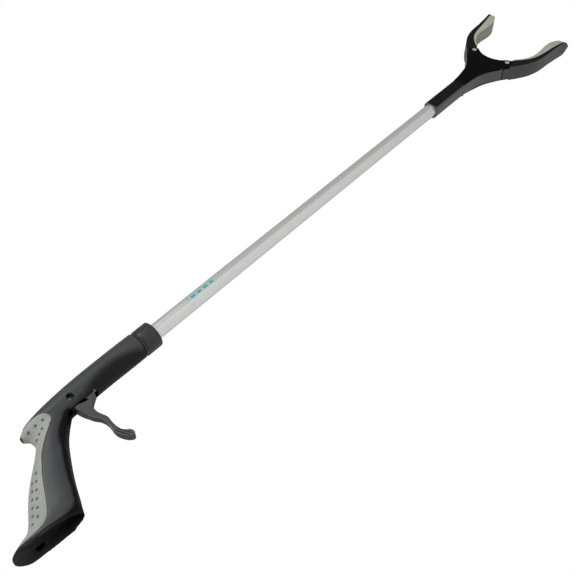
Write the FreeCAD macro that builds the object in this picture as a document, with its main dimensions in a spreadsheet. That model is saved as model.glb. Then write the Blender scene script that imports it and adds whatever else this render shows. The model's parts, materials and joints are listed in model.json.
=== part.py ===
import FreeCAD, Part
import math
import os
import re

# Reacher grabber, millimetres.
# X runs along the tube towards the jaws, Z is up (the grip hangs down) and Y is across.
# The origin is on the tube's axis at the front face of the rotating collar.

V = FreeCAD.Vector
DOC = FreeCAD.newDocument("ReacherGrabber")
SHEET = DOC.addObject("Spreadsheet::Sheet", "Sizes")
NODES = []

SIZES = {
    # tube and rod
    "tube_radius": 7.0, "tube_bore": 6.0, "tube_rear": -40.0, "tube_front": 440.0,
    "rod_radius": 1.5, "rod_rear": -69.0, "rod_front": 526.0,
    "fit_gap": 0.05, "run_gap": 0.1,
    # handle
    "wall": 2.6, "inlay_depth": 1.2, "handle_front": -17.0,
    "cap_thickness": 2.6, "cap_rim": 6.0, "cap_tilt": 7.5, "cap_middle": -165.0, "cap_level": -78.0,
    # swivel of the head in the handle
    "hub_radius": 9.0, "hub_front": -2.6, "flange_radius": 10.0, "flange_front": -37.0,
    "rib_rear": -52.0, "rib_bore": 5.4, "collar_radius": 11.7, "collar_rear": -16.6,
    "ball_radius": 1.2, "ball_ring": 8.5, "ball_x": -40.5, "detent_wire": 0.25, "detent_coil": 0.85,
    "detent_length": 6.0,
    # trigger, its pin and the shuttle that it pulls
    "trigger_half": 4.6, "lever_half": 3.1, "pivot_x": -76.0, "pivot_z": 5.0, "pivot_radius": 1.5,
    "lever": 9.0, "lever_lead": 2.52, "shuttle_half": 3.1, "shuttle_front": -58.0,
    "shuttle_rear": -76.6, "shuttle_pin": 1.25, "button_radius": 2.7, "button_length": 6.0,
    "button_front": -63.0,
    # head
    "sleeve_rear": 410.0, "seam": 466.0, "sleeve_half": 7.9, "sleeve_corner": 4.2,
    "yoke_half": 8.8, "frame_half": 6.6, "cavity_rear": 474.0,
    "concave_radius": 25.5, "concave_x": 557.0, "jaw_x": 534.4, "jaw_z": 21.6,
    "corner_radius": 6.0, "shoulder_gap": 0.2, "jaw_pin": 2.0, "jaw_pin_head": 2.6,
    "knuckle_half": 6.4, "knuckle_radius": 5.8, "knuckle_cover": 8.4,
    "drive_arm": 13.0, "drive_angle": 22.0, "drive_pin": 1.25, "ear_half": 2.8, "crosshead_half": 2.0,
    "crosshead_rear": 513.0, "spring_coil": 4.2, "spring_wire": 0.5,
    # small fasteners
    "hub_pin_radius": 1.0, "hub_pin_place": -26.0, "rivet_radius": 1.2, "rear_rivet": 425.0,
    "front_rivet": 456.0, "plate_screw": 1.0, "plate_screw_head": 1.9, "plate_screw_place": 470.0,
    "rod_pin": 0.8, "rod_pin_place": 520.0, "washer_radius": 5.2,
}

# Half length of a cut that goes right through the part.
THROUGH = "20"


def fill_sheet():
    """One row per driving dimension: its name, its value and the alias that expressions use."""
    for row, (name, number) in enumerate(SIZES.items(), 1):
        SHEET.set(f"A{row}", name)
        SHEET.set(f"B{row}", str(number))
        SHEET.setAlias(f"B{row}", name)
    DOC.recompute()


def size(name):
    return float(SHEET.get(name))


def prefixed(word):
    """A word of an expression, pointed at the sheet if it names one of the sizes."""
    return "Sizes." + word if word in SIZES else word


def bind(obj, **expressions):
    """Ties properties to the sheet. A double underscore in a keyword stands for a dot."""
    for key, text in expressions.items():
        words = re.sub(r"[a-z_]+", lambda word: prefixed(word.group(0)), str(text))
        obj.setExpression(key.replace("__", "."), words)
    return obj


def add(kind, name, **expressions):
    return bind(DOC.addObject(kind, name), **expressions)


def place(obj, x="0", y="0", z="0", along="z"):
    """Puts a primitive at a point with its own Z axis along x, y or z."""
    turns = {"x": (V(0, 1, 0), 90), "y": (V(1, 0, 0), -90), "z": (V(0, 0, 1), 0)}
    obj.Placement = FreeCAD.Placement(V(0, 0, 0), FreeCAD.Rotation(*turns[along]))
    return bind(obj, Placement__Base__x=x, Placement__Base__y=y, Placement__Base__z=z)


def rod(name, radius, length, x="0", y="0", z="0", along="x"):
    return place(add("Part::Cylinder", name, Radius=radius, Height=length), x, y, z, along)


def box(name, x, y, z, length, width, height):
    block = add("Part::Box", name, Length=length, Width=width, Height=height)
    return place(block, x, y, z)


def fuse(name, *pieces):
    joined = DOC.addObject("Part::MultiFuse", name)
    joined.Shapes = list(pieces)
    return joined


def cut(name, base, *tools):
    tool = tools[0] if len(tools) == 1 else fuse(name + "_tools", *tools)
    result = DOC.addObject("Part::Cut", name)
    result.Base = base
    result.Tool = tool
    return result


def common(name, base, tool):
    result = DOC.addObject("Part::Common", name)
    result.Base = base
    result.Tool = tool
    return result


def healed(name, source):
    """A copy of a boolean's result with its face orientations put right."""
    DOC.recompute()
    shape = source.Shape.copy()
    shape.fix(0.001, 0.0001, 0.01)
    part = DOC.addObject("Part::Feature", name)
    part.Shape = shape
    return part


def node(obj, label):
    """Marks a finished sub-part; its label is also the name of its file."""
    obj.Label = label
    NODES.append(obj)
    return obj


# ---------------------------------------------------------------- sketches and bodies


def plane(body, role):
    return next(f for f in body.Origin.OriginFeatures if f.Role == role)


def sketch(body, name, curves, role="XZ_Plane"):
    drawing = body.newObject("Sketcher::SketchObject", name)
    drawing.AttachmentSupport = (plane(body, role), [""])
    drawing.MapMode = "FlatFace"
    drawing.addGeometry(curves, False)
    return drawing


def line(a, b):
    return Part.LineSegment(V(*a, 0), V(*b, 0))


def spline(points):
    curve = Part.BSplineCurve()
    curve.interpolate([V(*p, 0) for p in points])
    return curve


def arc(centre, radius, start, end):
    """Arc from the start to the end angle in degrees, counter-clockwise."""
    circle = Part.Circle(V(*centre, 0), V(0, 0, 1), radius)
    return Part.ArcOfCircle(circle, math.radians(start), math.radians(end))


def ring(centre, radius):
    return Part.Circle(V(*centre, 0), V(0, 0, 1), radius)


def long_hole(middle, radius, low, high, tilt=0.0):
    """Slot with round ends from low to high above its middle, turned about the middle by the tilt."""
    bottom = turn((middle[0], middle[1] + low), middle, tilt)
    top = turn((middle[0], middle[1] + high), middle, tilt)
    left, right = ([polar(end, radius, angle) for end in (top, bottom)] for angle in (180 + tilt, tilt))
    return [arc(top, radius, tilt, 180 + tilt), line(*left), arc(bottom, radius, 180 + tilt, 360 + tilt),
            line(*right)]


def polygon(points):
    return [line(a, b) for a, b in zip(points, points[1:] + points[:1])]


def pad(body, name, curves, half, role="XZ_Plane"):
    """Pads an outline by the named half width to both sides of its plane."""
    feature = body.newObject("PartDesign::Pad", name)
    feature.Profile = sketch(body, name + "_sketch", curves, role)
    feature.Midplane = True
    bind(feature, Length=f"2 * ({half})")
    body.Tip = feature
    return feature


def pocket(body, name, curves, half, role="XZ_Plane"):
    """Cuts an outline to both sides of its plane, and checks that it removed something."""
    DOC.recompute()
    before = body.Shape.Volume
    feature = body.newObject("PartDesign::Pocket", name)
    feature.Profile = sketch(body, name + "_sketch", curves, role)
    feature.Midplane = True
    bind(feature, Length=f"2 * ({half})")
    body.Tip = feature
    DOC.recompute()
    if body.Shape.Volume > before - 0.5:
        raise RuntimeError(f"{name} cuts nothing")
    return feature


def new_body(name):
    return DOC.addObject("PartDesign::Body", name)


def turn(point, centre, degrees):
    """Turns a point of the XZ plane about a centre, counter-clockwise from X towards Z."""
    cosine, sine = math.cos(math.radians(degrees)), math.sin(math.radians(degrees))
    dx, dz = point[0] - centre[0], point[1] - centre[1]
    return (centre[0] + dx * cosine - dz * sine, centre[1] + dx * sine + dz * cosine)


def polar(centre, radius, degrees):
    return turn((centre[0] + radius, centre[1]), centre, degrees)


def mirrored(points, side):
    """The same XZ points for the upper (1) or the lower (-1) jaw."""
    return [(x, side * z) for x, z in points]


def below(points):
    """The mirror image of an outline under the X axis, in reverse order so that it closes the upper one."""
    return mirrored(points[::-1], -1)


# ---------------------------------------------------------------- handle

# Upright ellipses of the barrel: place along X, top, bottom and half width.
BARREL = [
    (-17.0, 11.9, -11.2, 11.8),
    (-45.0, 12.2, -11.0, 11.8),
    (-75.0, 11.6, -11.0, 11.9),
    (-95.0, 10.2, -11.3, 12.0),
    (-111.0, 8.2, -10.8, 11.5),
    (-123.0, 5.9, -8.7, 9.5),
    (-131.0, 3.4, -5.2, 6.0),
]

# Level ellipses of the grip: height, front, back and half width.
GRIP = [
    (-3.0, -86.0, -121.0, 10.6),
    (-14.0, -96.4, -129.5, 11.9),
    (-24.0, -107.0, -138.4, 12.6),
    (-34.0, -114.6, -149.2, 13.0),
    (-44.0, -121.0, -158.9, 13.2),
    (-55.0, -127.4, -167.4, 13.0),
    (-66.0, -133.0, -178.0, 12.6),
    (-71.0, -135.4, -188.6, 12.3),
    (-76.0, -137.8, -194.6, 12.1),
    (-86.0, -141.5, -197.0, 12.0),
]

# Screws that clamp the shells: place in X and Z, and how far the head lies from the middle plane.
SCREWS = [(-87.1, -4.4, 8.2), (-120.5, -3.0, 4.6), (-160.0, -58.0, 5.6)]
SCREW_HEAD = 2.8
SCREW_HEAD_HEIGHT = 1.8
SCREW_SHANK = 1.3
SCREW_REACH = 7.0
SCREW_BOSS = 2.7
CAP_SCREW_X = -174.0
CAP_SCREW_HEAD = 3.4
SLOT_REAR = -102.5
SLOT_LENGTH = 35.0
FAR_AWAY = 300.0

# Edge of the soft inlay in side view: over the hump, then down the grip to its heel.
INLAY_TOP = [(-140.0, 1.0), (-131.0, 1.0), (-124.0, 2.2), (-116.0, 1.4), (-110.0, -1.2), (-107.4, -4.6)]
INLAY_FRONT = [(-107.4, -4.6), (-108.6, -8.4), (-115.5, -14.4), (-123.5, -20.4), (-131.4, -27.4),
               (-138.2, -36.4), (-144.9, -46.2), (-151.4, -57.4), (-155.2, -63.4), (-159.2, -68.6),
               (-164.0, -71.6), (-172.0, -72.8), (-186.0, -72.0)]


def barrel_section(name, numbers, inset):
    x, top, bottom, half = numbers
    height = (top - bottom) / 2
    across = FreeCAD.Rotation(V(0, 1, 0), V(0, 0, 1), V(1, 0, 0), "ZXY")
    oval = add("Part::Ellipse", name, MajorRadius=f"{half} - {inset}", MinorRadius=f"{height} - {inset}")
    oval.Placement = FreeCAD.Placement(V(x, 0, (top + bottom) / 2), across)
    return oval


def grip_section(name, numbers, inset):
    level, front, back, half = numbers
    length = (front - back) / 2
    oval = add("Part::Ellipse", name, MajorRadius=f"{length} - {inset}", MinorRadius=f"{half} - {inset}")
    oval.Placement = FreeCAD.Placement(V((front + back) / 2, 0, level), FreeCAD.Rotation())
    return oval


def loft(name, sections):
    skin = DOC.addObject("Part::Loft", name)
    skin.Sections = sections
    skin.Solid = True
    return skin


def grip_solid(name, inset):
    """The grip alone, drawn in by the inset on all sides."""
    return loft(name, [grip_section(f"{name}_{i}", row, inset) for i, row in enumerate(GRIP)])


def handle_solid(name, inset):
    """Barrel and grip of the handle, drawn in by the inset on all sides."""
    sections = [barrel_section(f"{name}_b{i}", row, inset) for i, row in enumerate(BARREL)]
    return fuse(name, loft(name + "_barrel", sections), grip_solid(name + "_grip", inset))


def below_base(name, lift):
    """Block whose top is the sloping base of the grip, raised by the lift."""
    block = add("Part::Box", name, Length="150", Width="80", Height="60")
    tilt = FreeCAD.Rotation(V(0, 1, 0), size("cap_tilt"))
    middle = V(size("cap_middle"), 0, size("cap_level") + lift)
    block.Placement = FreeCAD.Placement(middle + tilt.multVec(V(-75, -40, -60)), tilt)
    return block


def inlay_region():
    """Prism around the soft inlay: the back of the grip behind one long S-shaped edge."""
    body = new_body("inlay_region")
    back = [INLAY_FRONT[-1], (-202.0, -72.0), (-202.0, 1.0), INLAY_TOP[0]]
    curves = [spline(INLAY_TOP), spline(INLAY_FRONT)] + [line(a, b) for a, b in zip(back, back[1:])]
    pad(body, "inlay_prism", curves, THROUGH)
    return body


def trigger_room(name, bottom, length, height):
    """Block of free space for the trigger's root, with a gap on both sides."""
    return box(name, f"{SLOT_REAR}", "-trigger_half - 0.5", bottom, length, "2 * trigger_half + 1", height)


def across(name, radius, start, length, x, z):
    """Cylinder along Y from a start, at a place in X and Z."""
    return rod(name, radius, length, x, start, z, "y")


def shell_bosses():
    """Pillars for the trigger's pin and the screws, kept out of the trigger's way."""
    pillars = [across(f"boss{i}", f"{SCREW_BOSS}", "-20", "40", f"{x}", f"{z}")
               for i, (x, z, depth) in enumerate(SCREWS)]
    pin_boss = across("pin_boss", "pivot_radius + 2", "-20", "40", "pivot_x", "pivot_z")
    pin_pillars = cut("pin_pillars", pin_boss, trigger_room("trigger_room", "-30", "46", "60"))
    return fuse("pillars", pin_pillars, *pillars)


def shell_openings():
    """Bores for the hub, its flange, the detent, the pins and screws, and the trigger's slot."""
    openings = [
        rod("bearing_bore", "hub_radius + run_gap", "25", "tube_rear"),
        rod("flange_groove", "flange_radius + run_gap", "3 + 2 * run_gap", "tube_rear - run_gap"),
        rod("rib_hole", "rib_bore", "20", "rib_rear - 1"),
        rod("detent_pocket", "ball_radius + run_gap", "detent_length + 2", "tube_rear - detent_length - 2",
            "ball_ring"),
        across("pin_hole", "pivot_radius", "-9.4", "18.8", "pivot_x", "pivot_z"),
        cut("slot", trigger_room("slot_room", "-21", f"{SLOT_LENGTH}", "16"),
            across("slot_pillar", f"{SCREW_BOSS}", "-20", "40", f"{SCREWS[0][0]}", f"{SCREWS[0][1]}")),
    ]
    for i, (x, z, depth) in enumerate(SCREWS):
        openings.append(across(f"screw_hole{i}", f"{SCREW_SHANK}", f"{-depth}", f"{depth + SCREW_REACH}",
                               f"{x}", f"{z}"))
        openings.append(across(f"screw_sink{i}", f"{SCREW_HEAD} + fit_gap", f"{-depth - FAR_AWAY}",
                               f"{FAR_AWAY}", f"{x}", f"{z}"))
    return openings


def make_handle():
    outer = handle_solid("outer", "0")
    hollow = cut("hollow", outer, handle_solid("inner", "wall"))
    ring_block = rod("ring_block", "flange_radius + 1.5", "handle_front - rib_rear", "rib_rear")
    inside = fuse("inside", ring_block, shell_bosses())
    filled = fuse("filled", hollow, common("stiffening", inside, handle_solid("floor", "inlay_depth")))
    shells = cut("shells", filled, below_base("shell_base", size("cap_thickness")), *shell_openings())

    skin = cut("skin", outer, DOC.getObject("floor"))
    layer = common("inlay_layer", skin, inlay_region())
    inlay = cut("inlay", layer, below_base("inlay_base", size("cap_thickness")))
    bare = cut("bare_shells", shells, layer)
    near_side = box("near_side", "-250", "-60", "-120", f"{FAR_AWAY}", "60", "200")
    far_side = box("far_side", "-250", "0", "-120", f"{FAR_AWAY}", "60", "200")
    node(common("near_half", bare, near_side), "handle_shell_near")
    node(healed("far_shell", common("far_half", bare, far_side)), "handle_shell_far")
    node(inlay, "grip_inlay")


def make_butt_cap():
    """Plate that closes the grip, with a rim that plugs into the shells and a sunk screw."""
    top = below_base("cap_top", size("cap_thickness"))
    plate = cut("cap_plate", common("cap_slab", DOC.getObject("outer"), top), below_base("cap_bottom", 0.0))
    rim_zone = cut("rim_zone", below_base("rim_top", size("cap_rim")), top)
    rim_ring = cut("rim_ring", grip_solid("rim_skin", "wall + run_gap"), grip_solid("rim_hollow", "wall + 2"))
    rim = common("rim", rim_ring, rim_zone)
    tilt = FreeCAD.Rotation(V(0, 1, 0), size("cap_tilt"))
    drop = (CAP_SCREW_X - size("cap_middle")) * math.tan(math.radians(size("cap_tilt")))
    floor = V(CAP_SCREW_X, 0, size("cap_level") - drop)
    up = tilt.multVec(V(0, 0, 1))

    def upright(name, radius, low, high):
        post = add("Part::Cylinder", name, Radius=f"{radius}", Height=f"{high - low}")
        post.Placement = FreeCAD.Placement(floor + up * low, tilt)
        return post

    post = upright("cap_post", CAP_SCREW_HEAD + 1.4, 0.0, 9.0)
    solid = fuse("cap_solid", plate, rim, common("cap_tower", post, DOC.getObject("rim_skin")))
    node(cut("cap", solid, upright("cap_sink", CAP_SCREW_HEAD + 0.2, -1.0, 3.6),
             upright("cap_hole", SCREW_SHANK, 3.0, 10.0)), "butt_cap")
    node(fuse("cap_screw", upright("cap_screw_head", CAP_SCREW_HEAD - 0.4, 1.9, 3.6),
              upright("cap_screw_shank", SCREW_SHANK, 3.6, 9.0)), "butt_cap_screw")


def make_handle_screws():
    solids = []
    for i, (x, z, depth) in enumerate(SCREWS):
        head = across(f"handle_screw_head{i}", f"{SCREW_HEAD}", f"{-depth - SCREW_HEAD_HEIGHT}",
                      f"{SCREW_HEAD_HEIGHT}", f"{x}", f"{z}")
        shank = across(f"handle_screw_shank{i}", f"{SCREW_SHANK}", f"{-depth}",
                       f"{depth + SCREW_REACH - 0.5}", f"{x}", f"{z}")
        solids.append(fuse(f"handle_screw{i}", head, shank))
    node(fuse("screws", *solids), "handle_screws")


# ---------------------------------------------------------------- trigger and shuttle


# The root's shoulder is an arc about the pivot that passes just under the first screw's pillar.
NECK_ANGLE = 264.5
HEEL_ANGLE = 225.0
# Ends of the slot for the shuttle's pin, measured from the pin along the lever.
PIN_SLOT_LOW = -0.7
PIN_SLOT_HIGH = 0.5


def make_trigger():
    """Finger lever: a forked root around the shuttle, and an S-shaped lever with a spoon end."""
    pivot = (size("pivot_x"), size("pivot_z"))
    pin = (pivot[0] + size("lever_lead"), pivot[1] - size("lever"))
    body = new_body("trigger")
    screw_x, screw_z = SCREWS[0][:2]
    clear = math.dist(pivot, (screw_x, screw_z)) + SCREW_BOSS + 0.5
    neck = polar(pivot, clear, NECK_ANGLE)
    heel = polar(pivot, clear, HEEL_ANGLE)
    top = [neck, (-77.4, -8.0), (-77.6, -3.0), (-78.8, 2.0), (-78.7, 5.0), (-77.5, 6.9), (-75.8, 7.3),
           (-74.0, 6.2), (-71.2, 0.0), (-70.4, -5.0), (-70.4, -11.0)]
    front = [top[-1], (-75.2, -14.2), (-79.0, -18.4), (-80.3, -24.0), (-79.2, -30.0), (-78.1, -34.6),
             (-78.9, -39.6), (-79.3, -44.8), (-78.9, -49.6), (-77.0, -53.2), (-74.6, -55.6), (-73.7, -58.0),
             (-74.4, -60.6), (-76.2, -61.7)]
    rear = [front[-1], (-78.9, -60.0), (-81.3, -56.4), (-82.8, -52.4), (-83.3, -47.6), (-82.3, -42.0),
            (-82.0, -36.6), (-83.4, -31.0), (-85.8, -26.8), (-87.4, -21.6), (-89.0, -15.0), (-89.6, -10.0)]
    shoulder = [line(rear[-1], heel), arc(pivot, clear, HEEL_ANGLE, NECK_ANGLE)]
    pad(body, "lever", [spline(top), spline(front), spline(rear)] + shoulder, "lever_half")
    root = [spline(top), spline(front[:4]), line(front[3], rear[-3]), spline(rear[-3:])] + shoulder
    pad(body, "root", root, "trigger_half")
    fork = [(-90.0, -9.0), (-60.0, -9.0), (-60.0, 12.0), (-90.0, 12.0)]
    pocket(body, "fork", polygon(fork), "shuttle_half + run_gap")
    pocket(body, "pivot_hole", [ring(pivot, size("pivot_radius") + size("fit_gap"))], THROUGH)
    tilt = math.degrees(math.atan2(size("lever_lead"), size("lever")))
    slack = size("shuttle_pin") + size("run_gap")
    pocket(body, "pin_slot", long_hole(pin, slack, PIN_SLOT_LOW, PIN_SLOT_HIGH, tilt), THROUGH)
    node(body, "trigger")


def make_shuttle():
    """Block that slides in the barrel: the trigger's fork pulls its cross pin, it pulls the rod's button."""
    body = new_body("shuttle")
    rear, front = size("shuttle_rear"), size("shuttle_front")
    low = size("pivot_z") - size("lever") - size("shuttle_pin") - 1.0
    high = size("pivot_z") - size("pivot_radius") - 0.4
    pin = (size("pivot_x") + size("lever_lead"), size("pivot_z") - size("lever"))
    outline = [(rear, low), (front, low), (front, 3.0), (front - 1.0, high), (rear, high)]
    pad(body, "block", polygon(outline), "shuttle_half")
    pocket(body, "cross_hole", [ring(pin, size("shuttle_pin"))], THROUGH)
    gap = size("run_gap")
    room = size("button_radius") + gap
    rear_face, front_face = size("button_front") - size("button_length") - gap, size("button_front") + gap
    pocket(body, "button_room", polygon([(rear_face, -room), (front_face, -room), (front_face, 9.0),
                                         (rear_face, 9.0)]), "button_radius + run_gap")
    bore = size("rod_radius") + 2 * gap
    pocket(body, "rod_room", polygon([(front_face - 1.0, -bore), (front + 1.0, -bore), (front + 1.0, 9.0),
                                      (front_face - 1.0, 9.0)]), "rod_radius + 2 * run_gap")
    node(body, "pull_shuttle")
    node(across("cross_pin", "shuttle_pin", "-trigger_half", "2 * trigger_half", f"{pin[0]}", f"{pin[1]}"),
         "shuttle_pin")
    node(across("trigger_pin", "pivot_radius", "-9.2", "18.4", "pivot_x", "pivot_z"), "trigger_pin")


# ---------------------------------------------------------------- swivel, tube and rod


def coil(name, radius, wire, length, turns, x, y="0"):
    """Compression spring along X: a round wire swept along a helix."""
    helix = add("Part::Helix", name + "_helix", Pitch=f"({length} - 2 * {wire}) / {turns}",
                Height=f"{length} - 2 * {wire}", Radius=f"{radius}")
    helix.Placement = FreeCAD.Placement(V(0, 0, 0), FreeCAD.Rotation(V(0, 1, 0), 90))
    bind(helix, Placement__Base__x=f"{x} + {wire}", Placement__Base__y=f"{y}")
    DOC.recompute()
    start = helix.Placement.multVec(V(helix.Radius.Value, 0, 0))
    profile = add("Part::Circle", name + "_wire", Radius=f"{wire}")
    profile.Placement = FreeCAD.Placement(start, FreeCAD.Rotation(V(1, 0, 0), 90))
    sweep = DOC.addObject("Part::Sweep", name)
    sweep.Sections = [profile]
    sweep.Spine = helix
    sweep.Solid = True
    sweep.Frenet = True
    return sweep


def hub_pin_pair(name, length, middle):
    """Two upright cylinders above and below the axis that key the hub to the tube."""
    return [rod(f"{name}{i}", "hub_pin_radius", f"{length}", "hub_pin_place", "0",
                f"{side * middle - length / 2}", "z") for i, side in enumerate((1, -1))]


def make_swivel():
    """Flanged hub on the tube's rear end, held by a ball detent, and the collar that turns it."""
    core = fuse("hub_core", rod("hub_body", "hub_radius", "hub_front - tube_rear", "tube_rear"),
                rod("hub_flange", "flange_radius", "3", "tube_rear"))
    track = add("Part::Torus", "ball_track", Radius1="ball_ring", Radius2="ball_radius + fit_gap")
    place(track, "ball_x", along="x")
    cups = [add("Part::Sphere", f"ball_cup{i}", Radius="ball_radius + fit_gap") for i in range(4)]
    for i, cup in enumerate(cups):
        spot = polar((0.0, 0.0), size("ball_ring"), 90 * i)
        place(cup, "ball_x + 0.35", f"{spot[0]}", f"{spot[1]}")
    pins = hub_pin_pair("hub_pin", 2.8, 7.6)
    pin_room = hub_pin_pair("hub_pin_room", 4.2, 7.9)
    node(cut("hub", core, rod("hub_bore", "tube_radius", "60", "tube_rear - 5"), track, *cups, *pin_room),
         "swivel_hub")
    node(fuse("pins_of_hub", *pins), "hub_pins")
    ball = add("Part::Sphere", "ball", Radius="ball_radius")
    node(place(ball, "ball_x", "ball_ring"), "detent_ball")
    node(coil("detent_coil_sweep", "detent_coil", "detent_wire", "detent_length", 6,
              "ball_x - ball_radius - detent_length", "ball_ring"), "detent_spring")
    shell = rod("collar_body", "collar_radius", "-collar_rear", "collar_rear")
    bore = rod("collar_bore", "hub_radius", "hub_front - collar_rear + 1", "collar_rear - 1")
    front_bore = rod("collar_front", "tube_radius + fit_gap", "10", "-5")
    node(cut("collar", shell, bore, front_bore), "rotation_collar")


# Rear faces of the discs that keep the rod in the middle of the tube, and their length.
GUIDE_PLACES = (20, 150, 290, 420)
GUIDE_LENGTH = 6


def make_tube_and_rod():
    tube = cut("tube_pipe", rod("tube_skin", "tube_radius", "tube_front - tube_rear", "tube_rear"),
               rod("tube_inside", "tube_bore", "tube_front - tube_rear + 2", "tube_rear - 1"),
               *hub_pin_pair("tube_hub_hole", 4.0, 7.4),
               across("tube_head_hole", "rivet_radius", "5", "4", "rear_rivet", "0"))
    node(tube, "tube")
    button_body = rod("button_body", "button_radius", "button_length", "button_front - button_length")
    button_bore = rod("button_bore", "rod_radius", "button_length + 2", "button_front - button_length - 1")
    node(cut("button", button_body, button_bore), "rod_button")
    guides = []
    for i, x in enumerate(GUIDE_PLACES):
        disc = rod(f"guide_disc{i}", "tube_bore", f"{GUIDE_LENGTH}", f"{x}")
        bore = rod(f"guide_bore{i}", "rod_radius + run_gap", f"{GUIDE_LENGTH + 2}", f"{x - 1}")
        guides.append(cut(f"guide{i}", disc, bore))
    node(fuse("guides", *guides), "rod_guides")


# ---------------------------------------------------------------- head


def make_sleeve():
    """Square socket on the tube's front end; the yoke's round spigot plugs into its other end."""
    body = new_body("sleeve")
    half, corner = size("sleeve_half"), size("sleeve_corner")
    flat = half - corner
    sides = []
    for quarter in range(4):
        a = turn((half, -flat), (0, 0), 90 * quarter)
        b = turn((half, flat), (0, 0), 90 * quarter)
        middle = turn((flat, flat), (0, 0), 90 * quarter)
        sides += [line(a, b), arc(middle, corner, 90 * quarter, 90 * quarter + 90)]
    feature = body.newObject("PartDesign::Pad", "sleeve_pad")
    feature.Profile = sketch(body, "sleeve_section", sides, "YZ_Plane")
    bind(feature, Length="seam - sleeve_rear")
    body.Tip = feature
    body.Placement = FreeCAD.Placement(V(size("sleeve_rear"), 0, 0), FreeCAD.Rotation())
    bores = [rod("sleeve_bore", "tube_radius", "tube_front - sleeve_rear + 1", "sleeve_rear - 1"),
             rod("spigot_bore", "tube_bore + run_gap", "40", "tube_front - 1"),
             across("sleeve_rivet_room0", "rivet_radius", "5", "10", "rear_rivet", "0"),
             across("sleeve_rivet_room1", "rivet_radius", "4", "10", "front_rivet", "0")]
    node(cut("socket", body, *bores), "head_sleeve")
    node(fuse("rivets", across("rivet0", "rivet_radius", "6.05", "2.2", "rear_rivet", "0"),
              across("rivet1", "rivet_radius", "4.4", "3.8", "front_rivet", "0")), "sleeve_rivets")


# Upper half of the yoke seen from the side: its wall outside and inside, and the edge of its cheeks.
YOKE_SIDE = [(466.0, 7.9), (480.0, 8.2), (492.0, 9.8), (503.0, 13.2), (513.0, 18.4), (522.0, 24.2)]
PLATE_SIDE = [(466.0, 5.9), (473.0, 6.8), (482.0, 7.9), (492.0, 9.5), (503.0, 12.4), (513.0, 16.1)]
CAVITY_SIDE = [(474.0, 5.9), (484.0, 6.2), (492.0, 7.4), (503.0, 11.0), (513.0, 16.3), (520.6, 21.2)]
# Half width of the cheeks seen from above, where they grow out of the square socket.
CHEEK_PLAN = [(466.0, 7.9), (473.0, 8.2), (480.0, 8.6), (488.0, 8.8)]
PLATE_SCREWS_Z = 4.4
LOBE_START = 118.0


def plate_screw_pair(name, radius, start, length):
    """Two cylinders along Y, one for each screw that holds the cheeks on the frame."""
    return [across(f"{name}{i}", radius, start, length, "plate_screw_place", f"{side * PLATE_SCREWS_Z}")
            for i, side in enumerate((1, -1))]


def make_yoke_frame():
    """Middle layer of the yoke: solid neck with a spigot, and two flaring side walls."""
    body = new_body("frame")
    outside, inside = YOKE_SIDE, CAVITY_SIDE[::-1]
    low_outside, low_inside = below(outside), below(inside)
    curves = [spline(outside), line(outside[-1], inside[0]), spline(inside), line(inside[-1], low_inside[0]),
              spline(low_inside), line(low_inside[-1], low_outside[0]), spline(low_outside),
              line(low_outside[-1], outside[0])]
    pad(body, "frame_pad", curves, "frame_half")
    spigot = rod("spigot", "tube_bore", "seam - 444", "444")
    holes = [rod("neck_bore", "rod_radius + 2 * run_gap", "60", "430"),
             across("spigot_rivet_room", "rivet_radius", "4.3", "6", "front_rivet", "0")]
    holes += plate_screw_pair("frame_screw_room", "plate_screw", "-2", "12")
    node(cut("yoke_middle", fuse("frame_with_spigot", body, spigot), *holes), "yoke_frame")


def make_plate(name, far):
    """Flat cheek of the yoke with a round lobe about each jaw pin and a concave front edge."""
    body = new_body(name)
    jaw = (size("jaw_x"), size("jaw_z"))
    lobe, hollow = size("corner_radius"), size("concave_radius")
    side = PLATE_SIDE + [polar(jaw, lobe, LOBE_START)]
    centre = (size("concave_x"), 0.0)
    gap = math.dist(jaw, centre)
    bearing = math.degrees(math.atan2(jaw[1], jaw[0] - centre[0]))
    spread = math.degrees(math.acos((gap ** 2 + hollow ** 2 - lobe ** 2) / (2 * gap * hollow)))
    meet = polar(centre, hollow, bearing + spread)
    if math.dist(meet, jaw) > lobe + 0.01 or meet[0] < jaw[0] - lobe:
        raise RuntimeError("the plate's lobe misses its concave edge")
    upper_end = math.degrees(math.atan2(meet[1] - jaw[1], meet[0] - jaw[0]))
    curves = [spline(side), arc(jaw, lobe, upper_end, LOBE_START), spline(below(side)),
              arc((jaw[0], -jaw[1]), lobe, -LOBE_START, -upper_end),
              arc(centre, hollow, bearing + spread, 360 - bearing - spread),
              line((side[0][0], -side[0][1]), side[0])]
    pad(body, name + "_pad", curves, "(yoke_half - frame_half) / 2")
    way = 1 if far else -1
    middle = (size("frame_half") + size("yoke_half")) / 2
    edge = [(x, way * (half - middle)) for x, half in CHEEK_PLAN]
    rear, clear = edge[0][0] - 1.0, way * 5.0
    fence = [edge[-1], (edge[-1][0], clear), (rear, clear), (rear, edge[0][1]), edge[0]]
    taper = [spline(edge)] + [line(a, b) for a, b in zip(fence, fence[1:])]
    pocket(body, name + "_taper", taper, THROUGH, "XY_Plane")
    body.Placement = FreeCAD.Placement(V(0, way * middle, 0), FreeCAD.Rotation())
    holes = [across(f"{name}_pin_room{i}", "jaw_pin", "-15", "30", "jaw_x", f"{way * jaw[1]}")
             for i, way in enumerate((1, -1))]
    if far:
        holes += plate_screw_pair(f"{name}_screw_room", "plate_screw", "-15", "30")
    return cut(name + "_cheek", body, *holes)


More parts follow.
